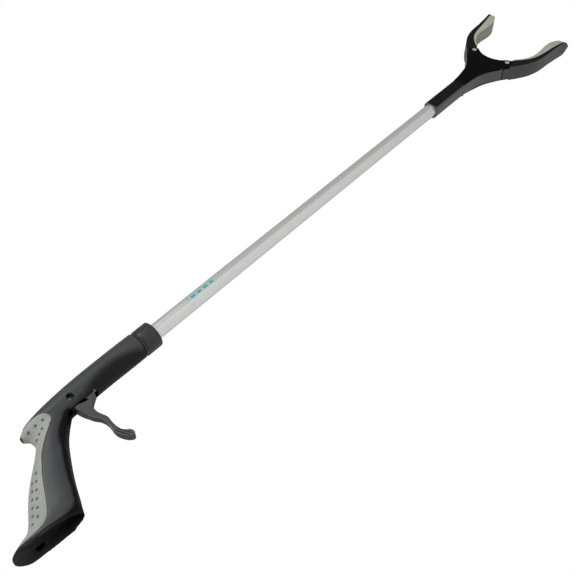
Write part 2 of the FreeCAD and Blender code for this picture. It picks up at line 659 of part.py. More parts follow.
def make_plates():
    node(make_plate("near_plate", False), "yoke_plate_near")
    node(make_plate("far_plate", True), "yoke_plate_far")
    shanks = plate_screw_pair("plate_screw_shank", "plate_screw", "-1.5", "yoke_half + 1.5")
    heads = plate_screw_pair("plate_screw_head", "plate_screw_head", "yoke_half - 0.2", "1.2")
    screws = [fuse(f"plate_screw{i}", shank, head) for i, (shank, head) in enumerate(zip(shanks, heads))]
    node(fuse("plate_screws", *screws), "yoke_screws")


# Upper jaw in the XZ plane: outer face, boundary between arm and pad, and the pad's gripping face.
JAW_OUTER = [(542.0, 37.2), (555.0, 43.6), (569.5, 47.2), (585.5, 48.4), (603.3, 49.8), (615.0, 51.4),
             (622.0, 52.6), (628.6, 53.4)]
JAW_INNER = [(628.2, 51.6), (622.0, 50.2), (616.0, 49.0), (606.5, 47.2), (591.2, 44.8), (577.0, 42.8),
             (563.0, 39.0), (552.0, 32.2), (545.2, 26.0)]
PAD_FACE = [(545.6, 24.2), (551.0, 28.6), (557.5, 33.0), (566.0, 36.2), (577.5, 37.6), (591.0, 37.0),
            (602.0, 37.2), (610.5, 39.2), (618.0, 42.8), (623.4, 46.6), (626.6, 50.8)]
# Half widths of a jaw seen in the XY plane: nearly even, then rounded off to a small nib.
JAW_PLAN = [(520.0, 9.4), (545.0, 9.0), (562.0, 8.7), (590.0, 8.4), (606.0, 8.4), (614.0, 8.0), (619.5, 6.8),
            (623.0, 4.9), (625.6, 3.2), (630.0, 1.6)]
ROOT_START = 5.0
ROOT_END = 118.0
# Tongue of the knuckle that closes the gap behind the jaw when it is open, and the width of the joint's line.
TONGUE = (522.8, 24.3)
HEEL_RADIUS = 8.8
COVER_START = 5.0
EAR_CUT_START = 4.2
# The pad stands this far inside the arm's edge, and this far off its face.
PAD_INSET = 0.3
PAD_CLEARANCE = 0.02


def either_way(centre, radius, start, end, side):
    """Arc over a span of angles for the upper jaw (1), or the same arc mirrored for the lower jaw (-1)."""
    first, last = (start, end) if side > 0 else (-end, -start)
    return arc(centre, radius, first, last)


def trim_to_plan(body, name, inset):
    """Cuts both sides of a jaw piece to the plan outline."""
    for side in (1, -1):
        edge = [(x, side * (half - inset)) for x, half in JAW_PLAN]
        fence = [edge[-1], (650.0, edge[-1][1]), (650.0, side * 30.0), (520.0, side * 30.0), edge[0]]
        curves = [spline(edge)] + [line(a, b) for a, b in zip(fence, fence[1:])]
        pocket(body, f"{name}_trim{'a' if side > 0 else 'b'}", curves, "80", "XY_Plane")


def make_jaw(side, word):
    """Arm with a slotted knuckle on its pin, two ears for the drive pin, a soft pad and its pins."""
    jaw = (size("jaw_x"), side * size("jaw_z"))
    shoulder = size("corner_radius") + size("shoulder_gap")
    root_out = polar(jaw, shoulder, side * ROOT_END)
    root_in = polar(jaw, shoulder, side * ROOT_START)
    heel = polar(jaw, HEEL_RADIUS, side * ROOT_END)
    outer = [heel] + mirrored(JAW_OUTER, side)
    inner = mirrored(JAW_INNER, side)
    arm = new_body("arm_" + word)
    outline = [either_way(jaw, shoulder, ROOT_START, ROOT_END, side), line(root_out, heel), spline(outer),
               line(outer[-1], inner[0]), spline(inner), line(inner[-1], root_in)]
    pad(arm, f"arm_{word}_pad", outline, "yoke_half")
    trim_to_plan(arm, "arm_" + word, 0.0)

    pad(arm, f"knuckle_{word}", [ring(jaw, size("knuckle_radius"))], "knuckle_half")
    cover = size("knuckle_cover")
    tongue = (TONGUE[0], side * TONGUE[1])
    bow = either_way(jaw, cover, COVER_START, ROOT_END, side)
    cover_end = polar(jaw, cover, side * ROOT_END)
    pad(arm, f"knuckle_cover_{word}", [bow, line(cover_end, tongue), line(tongue, jaw),
                                       line(jaw, polar(jaw, cover, side * COVER_START))], "knuckle_half")
    reach, ear = size("drive_arm"), size("ear_half")
    bearing = 270.0 - size("drive_angle") if side > 0 else 90.0 + size("drive_angle")
    drive = polar(jaw, reach, bearing)

    def in_ear(distance, sideways):
        return turn((jaw[0] + distance, jaw[1] + sideways), jaw, bearing)

    ears = [line(in_ear(0, -ear), in_ear(reach, -ear)), arc(drive, ear, bearing - 90, bearing + 90),
            line(in_ear(reach, ear), in_ear(0, ear)), line(in_ear(0, ear), in_ear(0, -ear))]
    pad(arm, f"ears_{word}", ears, "knuckle_half")
    beyond = reach + ear + 2.0
    clevis = [in_ear(EAR_CUT_START, -9), in_ear(beyond, -9), in_ear(beyond, 9), in_ear(EAR_CUT_START, 9)]
    pocket(arm, f"clevis_{word}", polygon(clevis), "crosshead_half + run_gap + 0.05")
    pocket(arm, f"pin_bore_{word}", [ring(jaw, size("jaw_pin") + size("fit_gap"))], THROUGH)
    pocket(arm, f"drive_bore_{word}", [ring(drive, size("drive_pin"))], THROUGH)
    node(arm, "jaw_arm_" + word)

    soft = new_body("soft_" + word)
    face = mirrored(PAD_FACE, side)
    back = [(x, z - side * PAD_CLEARANCE) for x, z in inner if x < PAD_FACE[-1][0]]
    skin = [spline(face), line(face[-1], back[0]), spline(back), line(back[-1], face[0])]
    pad(soft, f"soft_{word}_pad", skin, "yoke_half")
    trim_to_plan(soft, "soft_" + word, PAD_INSET)
    node(soft, "jaw_pad_" + word)

    shaft = across(f"jaw_shaft_{word}", "jaw_pin", "-yoke_half", "2 * yoke_half", "jaw_x", f"{jaw[1]}")
    heads = [across(f"jaw_head_{word}{i}", "jaw_pin_head", start, "0.6", "jaw_x", f"{jaw[1]}")
             for i, start in enumerate(("-yoke_half - 0.6", "yoke_half"))]
    node(fuse(f"jaw_pin_solid_{word}", shaft, *heads), "jaw_pin_" + word)
    node(across(f"drive_pin_solid_{word}", "drive_pin", "-knuckle_half + 0.2", "2 * knuckle_half - 0.4",
                f"{drive[0]}", f"{drive[1]}"), "drive_pin_" + word)


# The drive pins rise in their slots as the jaws close; the slack takes up the bow of their path.
SLOT_RISE = 4.0
SLOT_DROP = 0.3
SLOT_SLACK = 0.15
SLOT_SHIFT = -0.11


def make_crosshead():
    """T-shaped slider at the rod's front end: each slot carries one jaw's drive pin."""
    angle = math.radians(size("drive_angle"))
    slot_x = size("jaw_x") - size("drive_arm") * math.sin(angle)
    slot_low = size("jaw_z") - size("drive_arm") * math.cos(angle)
    body = new_body("crosshead_body")
    rear = size("crosshead_rear")
    tall = slot_low + SLOT_RISE + 2.4
    outline = [(rear + 4, -3.2), (slot_x - 4.0, -6.0), (slot_x - 3.4, -tall), (slot_x + 3.0, -tall),
               (slot_x + 3.0, -6.5), (slot_x + 0.5, -3.0)]
    outline += [(x, -z) for x, z in reversed(outline)]
    pad(body, "crosshead_plate", polygon(outline), "crosshead_half")
    radius = size("drive_pin") + SLOT_SLACK
    for word, side in (("upper", 1), ("lower", -1)):
        low, high = sorted((-side * SLOT_DROP, side * SLOT_RISE))
        slot = long_hole((slot_x + SLOT_SHIFT, side * slot_low), radius, low, high)
        pocket(body, "drive_slot_" + word, slot, THROUGH)
    hub = rod("crosshead_hub", "3.2", "rod_front - crosshead_rear", "crosshead_rear")
    holes = [rod("crosshead_bore", "rod_radius", "rod_front - crosshead_rear + 2", "crosshead_rear - 1"),
             across("rod_pin_room", "rod_pin", "-10", "20", "rod_pin_place", "0")]
    node(cut("crosshead_solid", fuse("crosshead_whole", body, hub), *holes), "crosshead")
    node(cut("rod_with_hole", rod("rod_bar", "rod_radius", "rod_front - rod_rear", "rod_rear"),
             across("rod_pin_hole", "rod_pin", "-5", "10", "rod_pin_place", "0")), "pull_rod")
    node(across("rod_cross_pin", "rod_pin", "-3.1", "6.2", "rod_pin_place", "0"), "rod_cross_pin")


def make_return_spring():
    """Spring that opens the jaws, pressed between the yoke's neck and a washer on the crosshead."""
    washer = rod("washer_disc", "washer_radius", "1", "crosshead_rear - 1")
    node(cut("washer", washer, rod("washer_bore", "rod_radius", "3", "crosshead_rear - 2")), "spring_washer")
    length = "crosshead_rear - 1 - cavity_rear"
    node(coil("return_spring", "spring_coil", "spring_wire", length, 8, "cavity_rear"), "jaw_return_spring")


# ---------------------------------------------------------------- build and write


def check_and_write():
    DOC.recompute()
    failed = [o.Name for o in DOC.Objects if "Invalid" in o.State or "Error" in o.State]
    if failed:
        raise RuntimeError("failed objects: " + ", ".join(failed))
    for part in NODES:
        if part.Shape.isNull() or not part.Shape.isValid() or not part.Shape.Solids:
            raise RuntimeError(part.Label + " has no valid solid")
    os.makedirs("parts", exist_ok=True)
    for part in NODES:
        part.Shape.exportStep(os.path.join("parts", part.Label + ".step"))
        print(part.Label, len(part.Shape.Solids), round(part.Shape.Volume, 1))


def main():
    fill_sheet()
    make_handle()
    make_butt_cap()
    make_handle_screws()
    make_trigger()
    make_shuttle()
    make_swivel()
    make_tube_and_rod()
    make_sleeve()
    make_yoke_frame()
    make_plates()
    make_jaw(1, "upper")
    make_jaw(-1, "lower")
    make_crosshead()
    make_return_spring()
    check_and_write()


main()
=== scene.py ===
import json
import math

import bmesh
import bpy
import numpy as np
from mathutils import Matrix, Vector
from mathutils.kdtree import KDTree


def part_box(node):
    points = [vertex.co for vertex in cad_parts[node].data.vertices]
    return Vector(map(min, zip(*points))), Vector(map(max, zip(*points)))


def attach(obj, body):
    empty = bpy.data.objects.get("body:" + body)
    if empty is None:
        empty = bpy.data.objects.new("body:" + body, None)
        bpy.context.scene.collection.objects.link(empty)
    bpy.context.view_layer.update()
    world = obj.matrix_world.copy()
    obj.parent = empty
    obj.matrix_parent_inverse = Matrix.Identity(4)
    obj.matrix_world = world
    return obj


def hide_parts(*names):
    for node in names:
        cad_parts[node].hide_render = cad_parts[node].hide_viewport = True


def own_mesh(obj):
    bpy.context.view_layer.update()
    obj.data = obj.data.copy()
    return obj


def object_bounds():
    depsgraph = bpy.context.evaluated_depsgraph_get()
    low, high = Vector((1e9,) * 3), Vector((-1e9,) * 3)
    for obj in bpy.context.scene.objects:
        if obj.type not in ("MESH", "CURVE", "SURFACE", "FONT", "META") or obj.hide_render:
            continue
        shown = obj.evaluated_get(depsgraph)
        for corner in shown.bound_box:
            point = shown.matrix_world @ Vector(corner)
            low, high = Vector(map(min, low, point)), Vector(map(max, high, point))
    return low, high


# Reacher grabber: its looks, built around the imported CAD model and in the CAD's own frame: X along
# the tube towards the jaws, Y across, Z up, origin at the front of the rotating collar. The scene is
# in metres. Lengths and places of the object are written in millimetres and turned into metres with
# MM; the stage, lights and camera are in metres. A pair of numbers that is passed to rise() or ramp()
# says where a change starts and where it is complete.

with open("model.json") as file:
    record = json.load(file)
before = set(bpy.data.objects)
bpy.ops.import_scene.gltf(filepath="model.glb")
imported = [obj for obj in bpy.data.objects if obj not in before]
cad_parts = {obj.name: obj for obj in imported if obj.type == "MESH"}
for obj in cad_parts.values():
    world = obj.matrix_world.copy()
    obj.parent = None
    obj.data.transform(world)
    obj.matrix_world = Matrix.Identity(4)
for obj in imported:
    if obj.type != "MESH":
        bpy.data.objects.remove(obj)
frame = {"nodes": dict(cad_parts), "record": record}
cad_low, cad_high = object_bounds()
NODES = frame["nodes"]
SLOT = {entry["node"]: entry["material_slot"] for entry in frame["record"]["subparts"]}
BODY = {node: body for body, nodes in frame["record"]["behaviour"]["bodies"].items() for node in nodes}
MM = 0.001


# ---------------------------------------------------------------- meshes


# Size of the rounding cells in mm, and rounds of smoothing, for each moulded piece.
MOULDING = {
    "handle_shell_near": (0.42, 7),
    "handle_shell_far": (0.42, 7),
    "grip_inlay": (0.3, 4),
    "butt_cap": (0.4, 6),
    "trigger": (0.3, 14),
    "head_sleeve": (0.35, 5),
    "yoke_frame": (0.3, 4),
    "yoke_plate_near": (0.3, 4),
    "yoke_plate_far": (0.3, 4),
    "jaw_arm_upper": (0.4, 6),
    "jaw_arm_lower": (0.4, 6),
    "jaw_pad_upper": (0.32, 5),
    "jaw_pad_lower": (0.32, 5),
}
SEAM_REACH = 0.002
CRISP_ANGLE = 22
SHRINK_STEP, SWELL_STEP = 0.5, 0.53


def rise(value, start, end):
    """0 before start, 1 after end, and a straight rise between them; start may lie above end."""
    return np.clip((value - start) / (end - start), 0, 1)


def ramp(value, start, end):
    """The same with a smooth rise."""
    t = rise(value, start, end)
    return t * t * (3 - 2 * t)


def bowl(offset, half):
    """1 in the middle, 0 at half and beyond, in the shape of a parabola."""
    return np.clip(1 - (offset / half) ** 2, 0, 1)


def new_piece(name, mesh, node, crisp=False):
    """A finished piece that is shown in place of one CAD node, on that node's body and in its finish."""
    piece = bpy.data.objects.new(name, mesh)
    bpy.context.scene.collection.objects.link(piece)
    mesh.materials.clear()
    mesh.materials.append(finish_of(node))
    mesh.shade_smooth()
    if crisp:
        mesh.set_sharp_from_angle(angle=math.radians(CRISP_ANGLE))
    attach(piece, BODY[node])
    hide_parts(node)
    return piece


def closed_mesh(name, node):
    """A CAD node's surface with the vertices along its seams merged."""
    builder = bmesh.new()
    builder.from_mesh(NODES[node].data)
    bmesh.ops.remove_doubles(builder, verts=builder.verts, dist=SEAM_REACH * MM)
    mesh = bpy.data.meshes.new(name)
    builder.to_mesh(mesh)
    builder.free()
    return mesh


def evaluated(mesh, kind, **settings):
    """The mesh after one modifier."""
    holder = bpy.data.objects.new("holder", mesh)
    bpy.context.scene.collection.objects.link(holder)
    modifier = holder.modifiers.new(kind, kind)
    for key, value in settings.items():
        setattr(modifier, key, value)
    graph = bpy.context.evaluated_depsgraph_get()
    result = bpy.data.meshes.new_from_object(holder.evaluated_get(graph))
    bpy.data.objects.remove(holder)
    return result


def points(mesh):
    flat = np.empty(len(mesh.vertices) * 3)
    mesh.vertices.foreach_get("co", flat)
    return flat.reshape(-1, 3)


def set_points(mesh, co):
    mesh.vertices.foreach_set("co", co.ravel())
    mesh.update()


def normals(mesh):
    flat = np.empty(len(mesh.vertices) * 3)
    mesh.vertices.foreach_get("normal", flat)
    return flat.reshape(-1, 3)


def mesh_edges(mesh):
    flat = np.empty(len(mesh.edges) * 2, dtype=np.int64)
    mesh.edges.foreach_get("vertices", flat)
    return flat.reshape(-1, 2)


def store_painted_shade(mesh, amount):
    """Stores the painted shade at each vertex, which the plastics and the rubber read."""
    layer = mesh.attributes.new("dark", "FLOAT", "POINT")
    layer.data.foreach_set("value", np.clip(amount, 0, 1).astype(np.float32))


def neighbour_count(edges, size):
    return np.maximum(np.bincount(edges.ravel(), minlength=size), 1).astype(float)


def neighbour_mean(values, edges, count):
    """Mean over each vertex's neighbours."""
    a, b = edges[:, 0], edges[:, 1]
    total = np.empty_like(values)
    for axis in range(values.shape[1]):
        total[:, axis] = (np.bincount(a, values[b, axis], len(values))
                          + np.bincount(b, values[a, axis], len(values)))
    return total / count[:, None]


def smoothed(mesh, rounds):
    """Taubin smoothing: it rounds edges, and each round swells the piece back after shrinking it."""
    co, edges = points(mesh), mesh_edges(mesh)
    count = neighbour_count(edges, len(co))
    for _ in range(rounds):
        co += SHRINK_STEP * (neighbour_mean(co, edges, count) - co)
        co -= SWELL_STEP * (neighbour_mean(co, edges, count) - co)
    set_points(mesh, co)
    return mesh


def filled_in(mesh, rounds, share):
    """Plain smoothing, scaled per vertex by its share; vertices without a share stay where they are."""
    co, edges = points(mesh), mesh_edges(mesh)
    edges = edges[(share[edges] > 0).any(axis=1)]
    used, local = np.unique(edges, return_inverse=True)
    local = local.reshape(edges.shape)
    part, weight = co[used], SHRINK_STEP * share[used][:, None]
    count = neighbour_count(local, len(used))
    for _ in range(rounds):
        part += weight * (neighbour_mean(part, local, count) - part)
    co[used] = part
    set_points(mesh, co)


def moulded(node):
    """A CAD node's solid with its edges rounded the way a moulding tool leaves them."""
    cell, rounds = MOULDING[node]
    name = node + "_moulded"
    mesh = evaluated(closed_mesh(name, node), "REMESH", mode="VOXEL", voxel_size=cell * MM, adaptivity=0.0)
    mesh.name = name
    return smoothed(mesh, rounds)


def lathe(name, profile, segments=96, centre=(0, 0, 0), axis="X"):
    """Closed solid of revolution.

    The profile is closed and holds (place along axis, radius) in mm; centre is in metres.
    """
    turn = {"X": Matrix.Identity(3), "Y": Matrix.Rotation(math.pi / 2, 3, "Z")}[axis]
    verts, faces = [], []
    rows = len(profile)
    for s in range(segments):
        a = 2 * math.pi * s / segments
        for x, r in profile:
            verts.append(turn @ Vector((x, r * math.cos(a), r * math.sin(a))) * MM + Vector(centre))
    for s in range(segments):
        t = (s + 1) % segments
        for i in range(rows):
            j = (i + 1) % rows
            faces.append((s * rows + i, s * rows + j, t * rows + j, t * rows + i))
    mesh = bpy.data.meshes.new(name)
    mesh.from_pydata(verts, [], faces)
    mesh.validate()
    builder = bmesh.new()
    builder.from_mesh(mesh)
    bmesh.ops.remove_doubles(builder, verts=builder.verts, dist=SEAM_REACH / 4 * MM)
    bmesh.ops.recalc_face_normals(builder, faces=builder.faces)
    builder.to_mesh(mesh)
    builder.free()
    return mesh


def solids_of(node):
    """The boxes of a CAD node's separate solids in metres, sorted by their low corners."""
    builder = bmesh.new()
    builder.from_mesh(closed_mesh("solids", node))
    left, boxes = set(builder.verts), []
    while left:
        queue, seen = [left.pop()], set()
        while queue:
            vert = queue.pop()
            seen.add(vert)
            for edge in vert.link_edges:
                other = edge.other_vert(vert)
                if other in left:
                    left.discard(other)
                    queue.append(other)
        co = np.array([v.co for v in seen])
        boxes.append((co.min(axis=0), co.max(axis=0)))
    builder.free()
    return sorted(boxes, key=lambda box: tuple(box[0]))


# ---------------------------------------------------------------- materials


class Graph:
    """Small helper that wires up one material."""

    def __init__(self, name):
        self.material = bpy.data.materials.new(name)
        self.material.use_nodes = True
        self.tree = self.material.node_tree
        self.shader = self.tree.nodes["Principled BSDF"]
        self.place = self.tree.nodes.new("ShaderNodeTexCoord").outputs["Object"]

    def node(self, kind, inputs=(), **settings):
        made = self.tree.nodes.new(kind)
        for key, value in settings.items():
            setattr(made, key, value)
        for socket, value in dict(inputs).items():
            self.feed(made.inputs[socket], value)
        return made

    def feed(self, socket, value):
        if isinstance(value, bpy.types.NodeSocket):
            self.tree.links.new(value, socket)
        else:
            socket.default_value = value

    def scaled(self, x, y, z):
        """Object coordinates multiplied along each axis, in cycles per metre."""
        return self.node("ShaderNodeMapping", {"Vector": self.place, "Scale": (x, y, z)}).outputs["Vector"]

    def noise(self, vector, detail=3.0, rough=0.55):
        return self.node("ShaderNodeTexNoise", {"Vector": vector, "Scale": 1.0, "Detail": detail,
                                                "Roughness": rough}).outputs["Fac"]

    def ranged(self, value, low, high, start=0.0, end=1.0):
        """Low at start and before it, high at end and after it."""
        return self.node("ShaderNodeMapRange", {"Value": value, "From Min": start, "From Max": end,
                                                "To Min": low, "To Max": high}).outputs["Result"]

    def math(self, operation, a, b=0.0):
        return self.node("ShaderNodeMath", {0: a, 1: b}, operation=operation).outputs[0]

    def mix(self, share, a, b):
        made = self.node("ShaderNodeMix", data_type="RGBA")
        self.feed(made.inputs[0], share)
        self.feed(made.inputs[6], a)
        self.feed(made.inputs[7], b)
        return made.outputs[2]

    def bump(self, height, depth, strength=1.0, under=None):
        """Normals for a height map whose full range is depth in mm, on top of the normals under it."""
        inputs = {"Height": height, "Distance": depth * MM, "Strength": strength}
        if under is not None:
            inputs["Normal"] = under
        return self.node("ShaderNodeBump", inputs).outputs["Normal"]

    def edges(self):
        """0.5 on a flat face, more on a sharp edge and less in a hollow."""
        return self.node("ShaderNodeNewGeometry").outputs["Pointiness"]

    def painted_shade(self):
        # Reads the painted shade stored on the mesh's vertices.
        return self.node("ShaderNodeAttribute", attribute_name="dark").outputs["Fac"]

    def set(self, **inputs):
        for key, value in inputs.items():
            self.feed(self.shader.inputs[key.replace("_", " ")], value)
        return self.material


def shade(grey, tint=(1.0, 1.0, 1.0), lift=1.0):
    return (grey * tint[0] * lift, grey * tint[1] * lift, grey * tint[2] * lift, 1.0)


# Moulded plastic: the grey of its painted shade, its noise scales in cycles per metre and its grain's
# depth in mm. A worn edge's grey is WORN_GAIN times the plastic's own plus WORN_LIFT.
PAINTED_SHADE_BLACK = 0.0035
GRAIN_SCALE, GRAIN_DEPTH, PATCH_SCALE = 2200.0, 0.02, 28
FLOW_SCALE = (40, 260, 260)
WORN_GAIN, WORN_LIFT = 2.2, 0.008


def plastic(name, grey, rough, tint=(1.0, 1.0, 1.0), flow_scale=FLOW_SCALE, gloss=0.45):
    """Fine eroded grain, faint flow marks, patches from handling, paler worn edges and painted shade."""
    g = Graph(name)
    fine = g.noise(g.scaled(GRAIN_SCALE, GRAIN_SCALE, GRAIN_SCALE), 2.0)
    broad = g.noise(g.scaled(PATCH_SCALE, PATCH_SCALE, PATCH_SCALE), 4.0)
    flow = g.noise(g.scaled(*flow_scale), 3.0)
    base = g.mix(g.ranged(broad, 0.0, 1.0, 0.3, 0.7), shade(grey, tint, 0.86), shade(grey, tint, 1.14))
    base = g.mix(g.ranged(flow, 0.0, 0.25, 0.45, 0.75), base, shade(grey, tint, 1.35))
    worn = shade(grey * WORN_GAIN + WORN_LIFT, tint)
    base = g.mix(g.ranged(g.edges(), 0.0, 0.3, 0.54, 0.66), base, worn)
    # Painted shade: the per-vertex dark attribute blackens the colour and dims the gloss where light does
    # not fall.
    dark = g.painted_shade()
    base = g.mix(dark, base, shade(PAINTED_SHADE_BLACK, tint))
    handled = g.ranged(broad, rough - 0.05, rough + 0.07, 0.3, 0.7)
    grain = g.bump(fine, GRAIN_DEPTH, 0.6)
    return g.set(Base_Color=base, Roughness=handled, Normal=g.bump(flow, GRAIN_DEPTH * 1.5, 0.3, grain),
                 Specular_IOR_Level=g.ranged(dark, gloss, gloss * 0.25))


# Generic printed bar on the near side of the tube, broken into dashes, in mm.
MARK_MIDDLE, MARK_LENGTH, MARK_HALF, MARK_DROP = 56.0, 30.0, 1.3, 0.3
DASH_PITCH, DASH_CUT = 7.5, -0.55
MARK_INK = (0.02, 0.36, 0.38, 1)
TUBE_METAL = 0.85
TUBE_GREYS = [(0.75, 0.77, 0.745, 1), (0.78, 0.80, 0.775, 1)]
TUBE_MOTTLE = (0.71, 0.73, 0.705, 1)


def printed_bar(g):
    """1 on the dashes of the printed bar."""
    place = g.node("ShaderNodeSeparateXYZ", {"Vector": g.place})
    around = g.math("ABSOLUTE", g.math("ADD", place.outputs["Z"], MARK_DROP * MM))
    along = g.math("ABSOLUTE", g.math("SUBTRACT", place.outputs["X"], MARK_MIDDLE * MM))
    dashes = g.math("LESS_THAN", along, MARK_LENGTH / 2 * MM)
    wave = g.math("SINE", g.math("MULTIPLY", place.outputs["X"], 2 * math.pi / (DASH_PITCH * MM)))
    gaps = g.math("GREATER_THAN", wave, DASH_CUT)
    ink = g.math("MULTIPLY", g.math("LESS_THAN", around, MARK_HALF * MM), g.math("MULTIPLY", dashes, gaps))
    return g.math("MULTIPLY", ink, g.math("LESS_THAN", place.outputs["Y"], 0.0))


def satin_aluminium():
    """Clear anodised tube: fine drawn lines along it, a slight mottling and the printed bar."""
    g = Graph("satin_aluminium")
    drawn = g.noise(g.scaled(9, 1500, 1500), 2.0)
    mottle = g.noise(g.scaled(60, 90, 90), 3.0)
    base = g.mix(g.ranged(drawn, 0.0, 1.0, 0.35, 0.65), *TUBE_GREYS)
    base = g.mix(g.ranged(mottle, 0.0, 0.2, 0.4, 0.7), base, TUBE_MOTTLE)
    ink = printed_bar(g)
    base = g.mix(ink, base, MARK_INK)
    return g.set(Base_Color=base, Metallic=g.ranged(ink, TUBE_METAL, 0.0),
                 Roughness=g.ranged(drawn, 0.34, 0.42, 0.3, 0.7), Normal=g.bump(drawn, 0.004, 0.15))


def steel(name, grey, rough):
    """Turned steel with very fine rings along Y and slight changes of polish."""
    g = Graph(name)
    turned = g.noise(g.scaled(3000, 500, 3000), 2.0)
    base = g.mix(turned, shade(grey, lift=0.85), shade(grey, lift=1.1))
    return g.set(Base_Color=base, Metallic=1.0, Roughness=g.ranged(turned, rough, rough + 0.1, 0.3, 0.7),
                 Normal=g.bump(turned, 0.01, 0.3))


def soft_rubber(name, grey, tint):
    """Matte elastomer with a very fine stipple, slight dirt, and painted shade in its hollows and dimples.
    """
    g = Graph(name)
    stipple = g.noise(g.scaled(2600, 2600, 2600), 2.0)
    dirt = g.noise(g.scaled(45, 45, 45), 5.0, 0.6)
    base = g.mix(g.ranged(dirt, 0.0, 1.0, 0.35, 0.7), shade(grey, tint, 0.9), shade(grey, tint, 1.1))
    # Painted shade in the hollows, where the surface's pointiness is low.
    base = g.mix(g.ranged(g.edges(), 0.55, 0.0, 0.40, 0.49), base, shade(grey, tint, 0.35))
    base = g.mix(g.painted_shade(), base, shade(grey, tint, 0.22))
    return g.set(Base_Color=base, Roughness=g.ranged(dirt, 0.62, 0.78, 0.3, 0.7),
                 Normal=g.bump(stipple, 0.03, 0.6), Specular_IOR_Level=0.35)


WEAVE_PITCH, WEAVE_DEPTH = 1.5, 0.12
PAD_GREYS = [(0.36, 0.365, 0.30, 1), (0.43, 0.435, 0.36, 1)]
# Painted shade for the weave's troughs and for the pad's grooves and hollows.
WEAVE_PAINTED_SHADE = (0.28, 0.28, 0.23, 1)
PAD_PAINTED_SHADE = (0.03, 0.03, 0.024, 1)


def pad_rubber():
    """Gripping pad: soft rubber with a fine diagonal cross texture, painted shade in its troughs, and
    grooves darkened with painted shade.
    """
    g = Graph("pad_rubber")
    dirt = g.noise(g.scaled(50, 50, 50), 4.0, 0.6)
    ridges = []
    for slant in (1.0, -1.0):
        place = g.node("ShaderNodeSeparateXYZ", {"Vector": g.place})
        run = g.math("ADD", place.outputs["X"], g.math("MULTIPLY", place.outputs["Y"], slant))
        wave = g.math("SINE", g.math("MULTIPLY", run, math.pi / (WEAVE_PITCH * MM)))
        ridges.append(g.math("ABSOLUTE", wave))
    weave = g.math("MINIMUM", *ridges)
    base = g.mix(g.ranged(dirt, 0.0, 1.0, 0.35, 0.7), *PAD_GREYS)
    # Painted shade in the troughs of the cross texture.
    base = g.mix(g.ranged(weave, 0.25, 0.0, 0.0, 0.4), base, WEAVE_PAINTED_SHADE)
    # Painted shade in the grooves and hollows.
    base = g.mix(g.ranged(g.edges(), 0.9, 0.0, 0.38, 0.48), base, PAD_PAINTED_SHADE)
    return g.set(Base_Color=base, Roughness=0.7, Normal=g.bump(weave, WEAVE_DEPTH, 0.7),
                 Specular_IOR_Level=0.35)


def make_finishes():
    """The finish for each of the record's material slots."""
    return {
        "handle_black": plastic("handle_plastic", 0.036, 0.46, (0.95, 1.0, 1.03)),
        "collar_black": plastic("collar_plastic", 0.020, 0.34),
        "cap_black": plastic("cap_plastic", 0.004, 0.52, gloss=0.2),
        "trigger_black": plastic("trigger_plastic", 0.036, 0.40),
        "head_black": plastic("head_plastic", 0.080, 0.42),
        "cheek_black": plastic("cheek_plastic", 0.0025, 0.62, gloss=0.12),
        "jaw_black": plastic("jaw_plastic", 0.055, 0.42, (1.0, 1.0, 1.04), flow_scale=(900, 60, 900)),
        "nylon": plastic("nylon", 0.55, 0.45, (1.0, 0.97, 0.88)),
        "inlay_grey": soft_rubber("inlay_rubber", 0.29, (0.98, 1.0, 0.92)),
        "pad_grey": pad_rubber(),
        "satin_aluminium": satin_aluminium(),
        "steel": steel("zinc_steel", 0.55, 0.28),
        "bright_pin": steel("bright_pin", 0.85, 0.14),
    }


FINISH = make_finishes()
# Black steel: black-oxide screws and rivets, and painted shade for the steel pins that sit inside the
# black parts.
BLACKENED_AND_SHADED = steel("blackened_and_shaded_steel", 0.07, 0.34)
BLACKENED_AND_SHADED_NODES = ("drive_pin_upper", "drive_pin_lower", "rod_cross_pin", "butt_cap_screw",
                   "sleeve_rivets", "handle_screws", "yoke_screws")


def finish_of(node):
    """The finish of a node's slot; the drive pins and the rod's cross pin, which sit inside, are painted
    black as painted shade, and the screws and rivets seen in the black parts are black steel.
    """
    return BLACKENED_AND_SHADED if node in BLACKENED_AND_SHADED_NODES else FINISH[SLOT[node]]


def dress_cad_nodes():
    """Gives every CAD node its finish; the nodes that pieces replace are hidden by new_piece."""
    for name, obj in NODES.items():
        obj.data.materials.clear()
        obj.data.materials.append(finish_of(name))


# ---------------------------------------------------------------- handle


# Inside corners that are blended, in mm: between barrel and grip on the shells, and under the hump on
# the inlay. Each has the box it is looked for in, the rounds of smoothing, the way its skin faces,
# and how near to the middle plane the blend may come. A vertex is in the corner when it lies
# CREASE_HOLLOW below its neighbours. The blend is full within BLEND_FULL of it and ends at
# BLEND_REACH.
SHELL_BLEND = {"low": (-108, -20, -26), "high": (-84, 20, -8), "rounds": 140,
               "outward": (1, 0, -1), "clear_of": 6.2}
INLAY_BLEND = {"low": (-140, -20, -30), "high": (-106, 20, -2), "rounds": 200,
               "outward": (-1, 0, -1), "clear_of": 0}
CREASE_HOLLOW = 0.010
BLEND_FULL, BLEND_REACH = 2.275, 6.5
FLANK_TURN = 0.15


